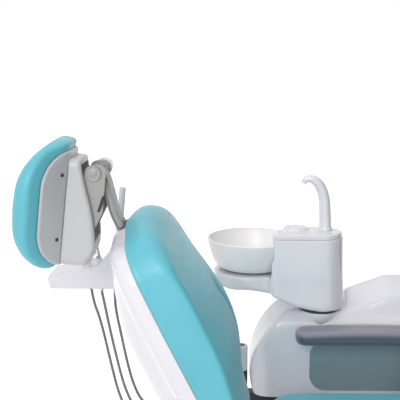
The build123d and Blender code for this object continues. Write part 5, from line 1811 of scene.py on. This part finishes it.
@dataclass
class SideBox:
    """Casing beside the seat that carries the cuspidor.

    Attributes:
        hood_start: X where the hood begins.
        ridge: Y of the hood's ridge.
        fall: How far the hood falls behind its ridge, per metre.
        top: Height of the flat deck.
        swivel: X and Y of the cuspidor's swivel.
        kept_radius: Radius round the swivel within which the smoothing moves nothing.
        kept_foot: Height above which it moves nothing there.
        boss_bore: Radius of the boss's bore.
        boss_radius: Outer radius of the boss.
        boss_foot: Height of the boss's underside.
    """

    hood_start: float = -0.03
    ridge: float = 0.470
    fall: float = 0.36
    top: float = 0.674
    swivel: Point2 = (-0.104, 0.420)
    kept_radius: float = 0.066
    kept_foot: float = 0.635
    boss_bore: float = 0.0335
    boss_radius: float = 0.0570
    boss_foot: float = 0.640

    def build(self, palette: Palette, effects: SharedEffects) -> None:
        """Make the casing and its boss.

        Args:
            palette: The finishes.
            effects: Shared groups.
        """
        shell = palette.shell.material(effects)
        for piece in (self._casing(shell), self._boss(shell)):
            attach(piece, "seat")
            LOG.info("built %s", piece.name)

    def _casing(self, material: bpy.types.Material) -> bpy.types.Object:
        """Casing with blended corners.

        Args:
            material: Finish of the casing.

        Returns:
            The casing.
        """
        def warp(spot: Vector) -> Vector:
            """Let the hood fall behind its ridge.

            Args:
                spot: A point of the casing.

            Returns:
                Its new place.
            """
            beyond = max(0.0, spot.y - self.ridge)
            if spot.x < self.hood_start or spot.z < self.top or beyond == 0.0:
                return spot
            return Vector((spot.x, spot.y, max(self.top, spot.z - self.fall * beyond)))

        def held(spot: Vector) -> bool:
            """Keep the seat of the swivel ring."""
            return spot.z > self.kept_foot and (spot.xy - Vector(self.swivel)).length < self.kept_radius

        return softened("side_box", "side_casing", material, 0.004, 26, warp, held)

    def _boss(self, material: bpy.types.Material) -> bpy.types.Object:
        """Round boss that the swivel ring stands on, bored for the spindle.

        Args:
            material: Finish of the boss.

        Returns:
            The boss.
        """
        profile = ((self.boss_bore, self.boss_foot), (self.boss_radius, self.boss_foot),
                   (self.boss_radius, 0.6688), (self.boss_radius - 0.0008, 0.6710), (self.boss_bore, 0.6712))
        draft = MeshDraft()
        draft.turn(PadFrame((*self.swivel, 0.0), (1.0, 0.0, 0.0), LEFT, UP), profile, 96, hollow=True)
        return draft.finish("swivel_boss", material)


@dataclass
class Cuspidor:
    """Tower, cap, spout and bowl.

    Attributes:
        spout: X and Y of the spout's foot.
        cap_top: Height of the cap's top.
        seam_low: Lower side of the seam between tower and cap, which keeps its shape.
        seam_high: Its upper side.
        corner_reach: How far the tower's near corner is carried out under the cap.
        bowl: X and Y of the bowl's middle.
        bowl_foot: Height of the bowl's underside.
        bowl_top: Height of the bowl's rim.
        wall: Thickness of the bowl's wall.
        lip: Radius of the rolled rim.
    """

    spout: Point2 = (-0.088, 0.440)
    cap_top: float = 0.912
    seam_low: float = 0.888
    seam_high: float = 0.899
    corner_reach: float = 0.013
    bowl: Point2 = (-0.305, 0.480)
    bowl_foot: float = 0.7872
    bowl_top: float = 0.8795
    wall: float = 0.0055
    lip: float = 0.003

    def build(self, palette: Palette, effects: SharedEffects) -> None:
        """Make the cuspidor's visible pieces.

        Args:
            palette: The finishes.
            effects: Shared groups.
        """
        def widen(spot: Vector) -> Vector:
            """Carry the near corner of the tower out to the edge of its cap.

            Args:
                spot: A point of the tower.

            Returns:
                Its new place.
            """
            near = smooth_step(-spot.x, 0.11, 0.17) * smooth_step(-spot.y, -0.455, -0.40)
            reach = self.corner_reach * near * smooth_step(spot.z, 0.70, 0.77)
            return Vector((spot.x - reach, spot.y, spot.z))

        def held(spot: Vector) -> bool:
            """Keep the seam between the tower and its cap."""
            return self.seam_low < spot.z < self.seam_high

        shell = palette.shell.material(effects)
        for piece in (
            softened("cuspidor_tower", "tower_moulding", shell, 0.0032, 22, widen, held),
            softened("cuspidor_cap", "tower_cap", shell, 0.0022, 5, None, held),
        ):
            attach(piece, "cuspidor")
            LOG.info("built %s", piece.name)
        self._spout(palette.enamel.material(effects))
        self._bowl(palette.ceramic.material(effects))

    def _spout(self, material: bpy.types.Material) -> None:
        """Tapered swan neck with a flared foot.

        Args:
            material: Finish of the spout.
        """
        x, y = self.spout
        rise = ((0.0, 0.0), (-0.0005, 0.02), (-0.002, 0.045), (-0.0045, 0.085), (-0.009, 0.108),
                (-0.018, 0.130), (-0.033, 0.1475), (-0.049, 0.1535), (-0.0625, 0.1505), (-0.0675, 0.1405))
        line = curve_through([(x + dx, y, self.cap_top + dz) for dx, dz in rise], 8)
        radius = through([(0.0, 0.0222), (0.03, 0.0195), (0.07, 0.0184), (0.3, 0.0172), (0.5, 0.0158),
                          (0.66, 0.0142), (0.8, 0.0112), (0.9, 0.0092), (0.97, 0.0088), (1.0, 0.0080)])
        turns = [math.tau * step / 48 for step in range(48)]

        def section(share: float) -> list[Point2]:
            """Round section."""
            return [(radius(share) * math.cos(turn), radius(share) * math.sin(turn)) for turn in turns]

        spout = sweep("filler_neck", line, section, material)
        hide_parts("filler_spout")
        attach(spout, "cuspidor")
        LOG.info("built %s", spout.name)

    def _bowl(self, material: bpy.types.Material) -> None:
        """Glazed bowl with a rolled rim.

        Args:
            material: The glaze.
        """
        outer = through([(0.0, 0.074), (0.02, 0.096), (0.08, 0.106), (0.18, 0.1135), (0.33, 0.1205),
                         (0.55, 0.1275), (0.78, 0.133), (1.0, 0.1368)])
        low, floor, steps = self.bowl_foot, self.bowl_foot + self.wall, 40
        outer_rise, inner_rise = self.bowl_top - self.lip - low, self.bowl_top - 0.004 - floor
        lip_radius, lip_width = 0.1362, 0.0028
        profile = [(0.030, low - 0.005), (0.030, low), (0.060, low)]
        profile += [(outer(step / steps), low + outer_rise * step / steps) for step in range(steps + 1)]
        turns = [math.pi * step / 8 for step in range(1, 8)]
        profile += [(lip_radius - lip_width * (1 - math.cos(turn)),
                     low + outer_rise + self.lip * math.sin(turn)) for turn in turns]
        profile += [(outer(step / steps) - self.wall, floor + inner_rise * step / steps)
                    for step in range(steps, 0, -1)]
        profile += [(0.075, floor - 0.0006), (0.04, floor - 0.001), (0.015, floor - 0.001)]
        draft = MeshDraft()
        draft.turn(PadFrame((*self.bowl, 0.0), (1.0, 0.0, 0.0), LEFT, UP), profile, 128)
        bowl = draft.finish("rinsing_bowl", material)
        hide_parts("cuspidor_bowl")
        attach(bowl, "bowl")
        LOG.info("built %s", bowl.name)


class HoseRoute(Enum):
    """Routes of the three hoses, from each tool's tail to its port on the manifold."""

    EJECTOR = (
        (-0.79833, 0.445, 0.728117), (-0.792, 0.445, 0.6815), (-0.776, 0.445, 0.636), (-0.762, 0.444, 0.580),
        (-0.750, 0.444, 0.520), (-0.737, 0.443, 0.460), (-0.722, 0.443, 0.392), (-0.697, 0.442, 0.326),
        (-0.652, 0.441, 0.272), (-0.597, 0.440, 0.266), (-0.551, 0.438, 0.304), (-0.529, 0.435, 0.368),
        (-0.521, 0.432, 0.432), (-0.520, 0.430, 0.490),
    )
    SYRINGE = (
        (-0.76033, 0.405, 0.728117), (-0.752, 0.405, 0.684), (-0.742, 0.406, 0.628), (-0.731, 0.408, 0.570),
        (-0.719, 0.410, 0.512), (-0.707, 0.412, 0.455), (-0.690, 0.414, 0.395), (-0.662, 0.416, 0.337),
        (-0.615, 0.417, 0.298), (-0.560, 0.4175, 0.300), (-0.518, 0.420, 0.343), (-0.498, 0.425, 0.405),
        (-0.491, 0.429, 0.455), (-0.490, 0.430, 0.490),
    )
    SUCTION = (
        (-0.723108, 0.430, 0.728051), (-0.725, 0.431, 0.690), (-0.719, 0.434, 0.640), (-0.709, 0.438, 0.585),
        (-0.699, 0.442, 0.528), (-0.688, 0.446, 0.470), (-0.674, 0.450, 0.412), (-0.652, 0.455, 0.357),
        (-0.612, 0.459, 0.318), (-0.560, 0.460, 0.316), (-0.505, 0.457, 0.345), (-0.474, 0.448, 0.395),
        (-0.461, 0.436, 0.448), (-0.460, 0.430, 0.490),
    )


@dataclass
class Hoses:
    """The three hoses that hang between the holder and the manifold.

    Attributes:
        radius: Radius of each hose.
        lengths: Length of each hose; not used.
    """

    radius: float = 0.00425
    lengths: tuple[float, float, float] = (0.7839, 0.7258, 0.7031)

    def build(self, material: bpy.types.Material) -> None:
        """Lay each hose along its route as a round curve.

        Args:
            material: Finish of the hoses.
        """
        nodes = ("ejector_hose", "syringe_hose", "suction_hose")
        for route, node, length in zip(HoseRoute, nodes, self.lengths):
            data = bpy.data.curves.new(f"{node}_line", "CURVE")
            data.dimensions = "3D"
            data.bevel_depth = self.radius
            data.bevel_resolution = 6
            data.resolution_u = 24
            data.use_fill_caps = True
            spline = data.splines.new("NURBS")
            spline.points.add(len(route.value) - 1)
            for point, spot in zip(spline.points, route.value):
                point.co = (*spot, 1.0)
            spline.order_u = 3
            spline.use_endpoint_u = True
            data.materials.append(material)
            hose = bpy.data.objects.new(f"{node}_line", data)
            bpy.context.scene.collection.objects.link(hose)
            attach(hose, "assistant")
            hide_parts(node)
            LOG.info("built %s", hose.name)


def main() -> None:
    """Build the studio and every sub-assembly in order."""
    logging.basicConfig(level=logging.INFO, format="%(message)s")
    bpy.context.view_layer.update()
    effects = SharedEffects()
    palette = Palette()
    Studio().build()
    dress_nodes(palette, effects)
    Upholstery().build(palette, effects)
    BackShell().build(palette, effects)
    Headrest().build(palette, effects)
    SideBox().build(palette, effects)
    Cuspidor().build(palette, effects)
    Hoses().build(palette.hose.material(effects))
    bpy.context.scene.view_settings.view_transform = "Standard"
    bpy.context.view_layer.update()


if __name__ == "__main__":
    main()
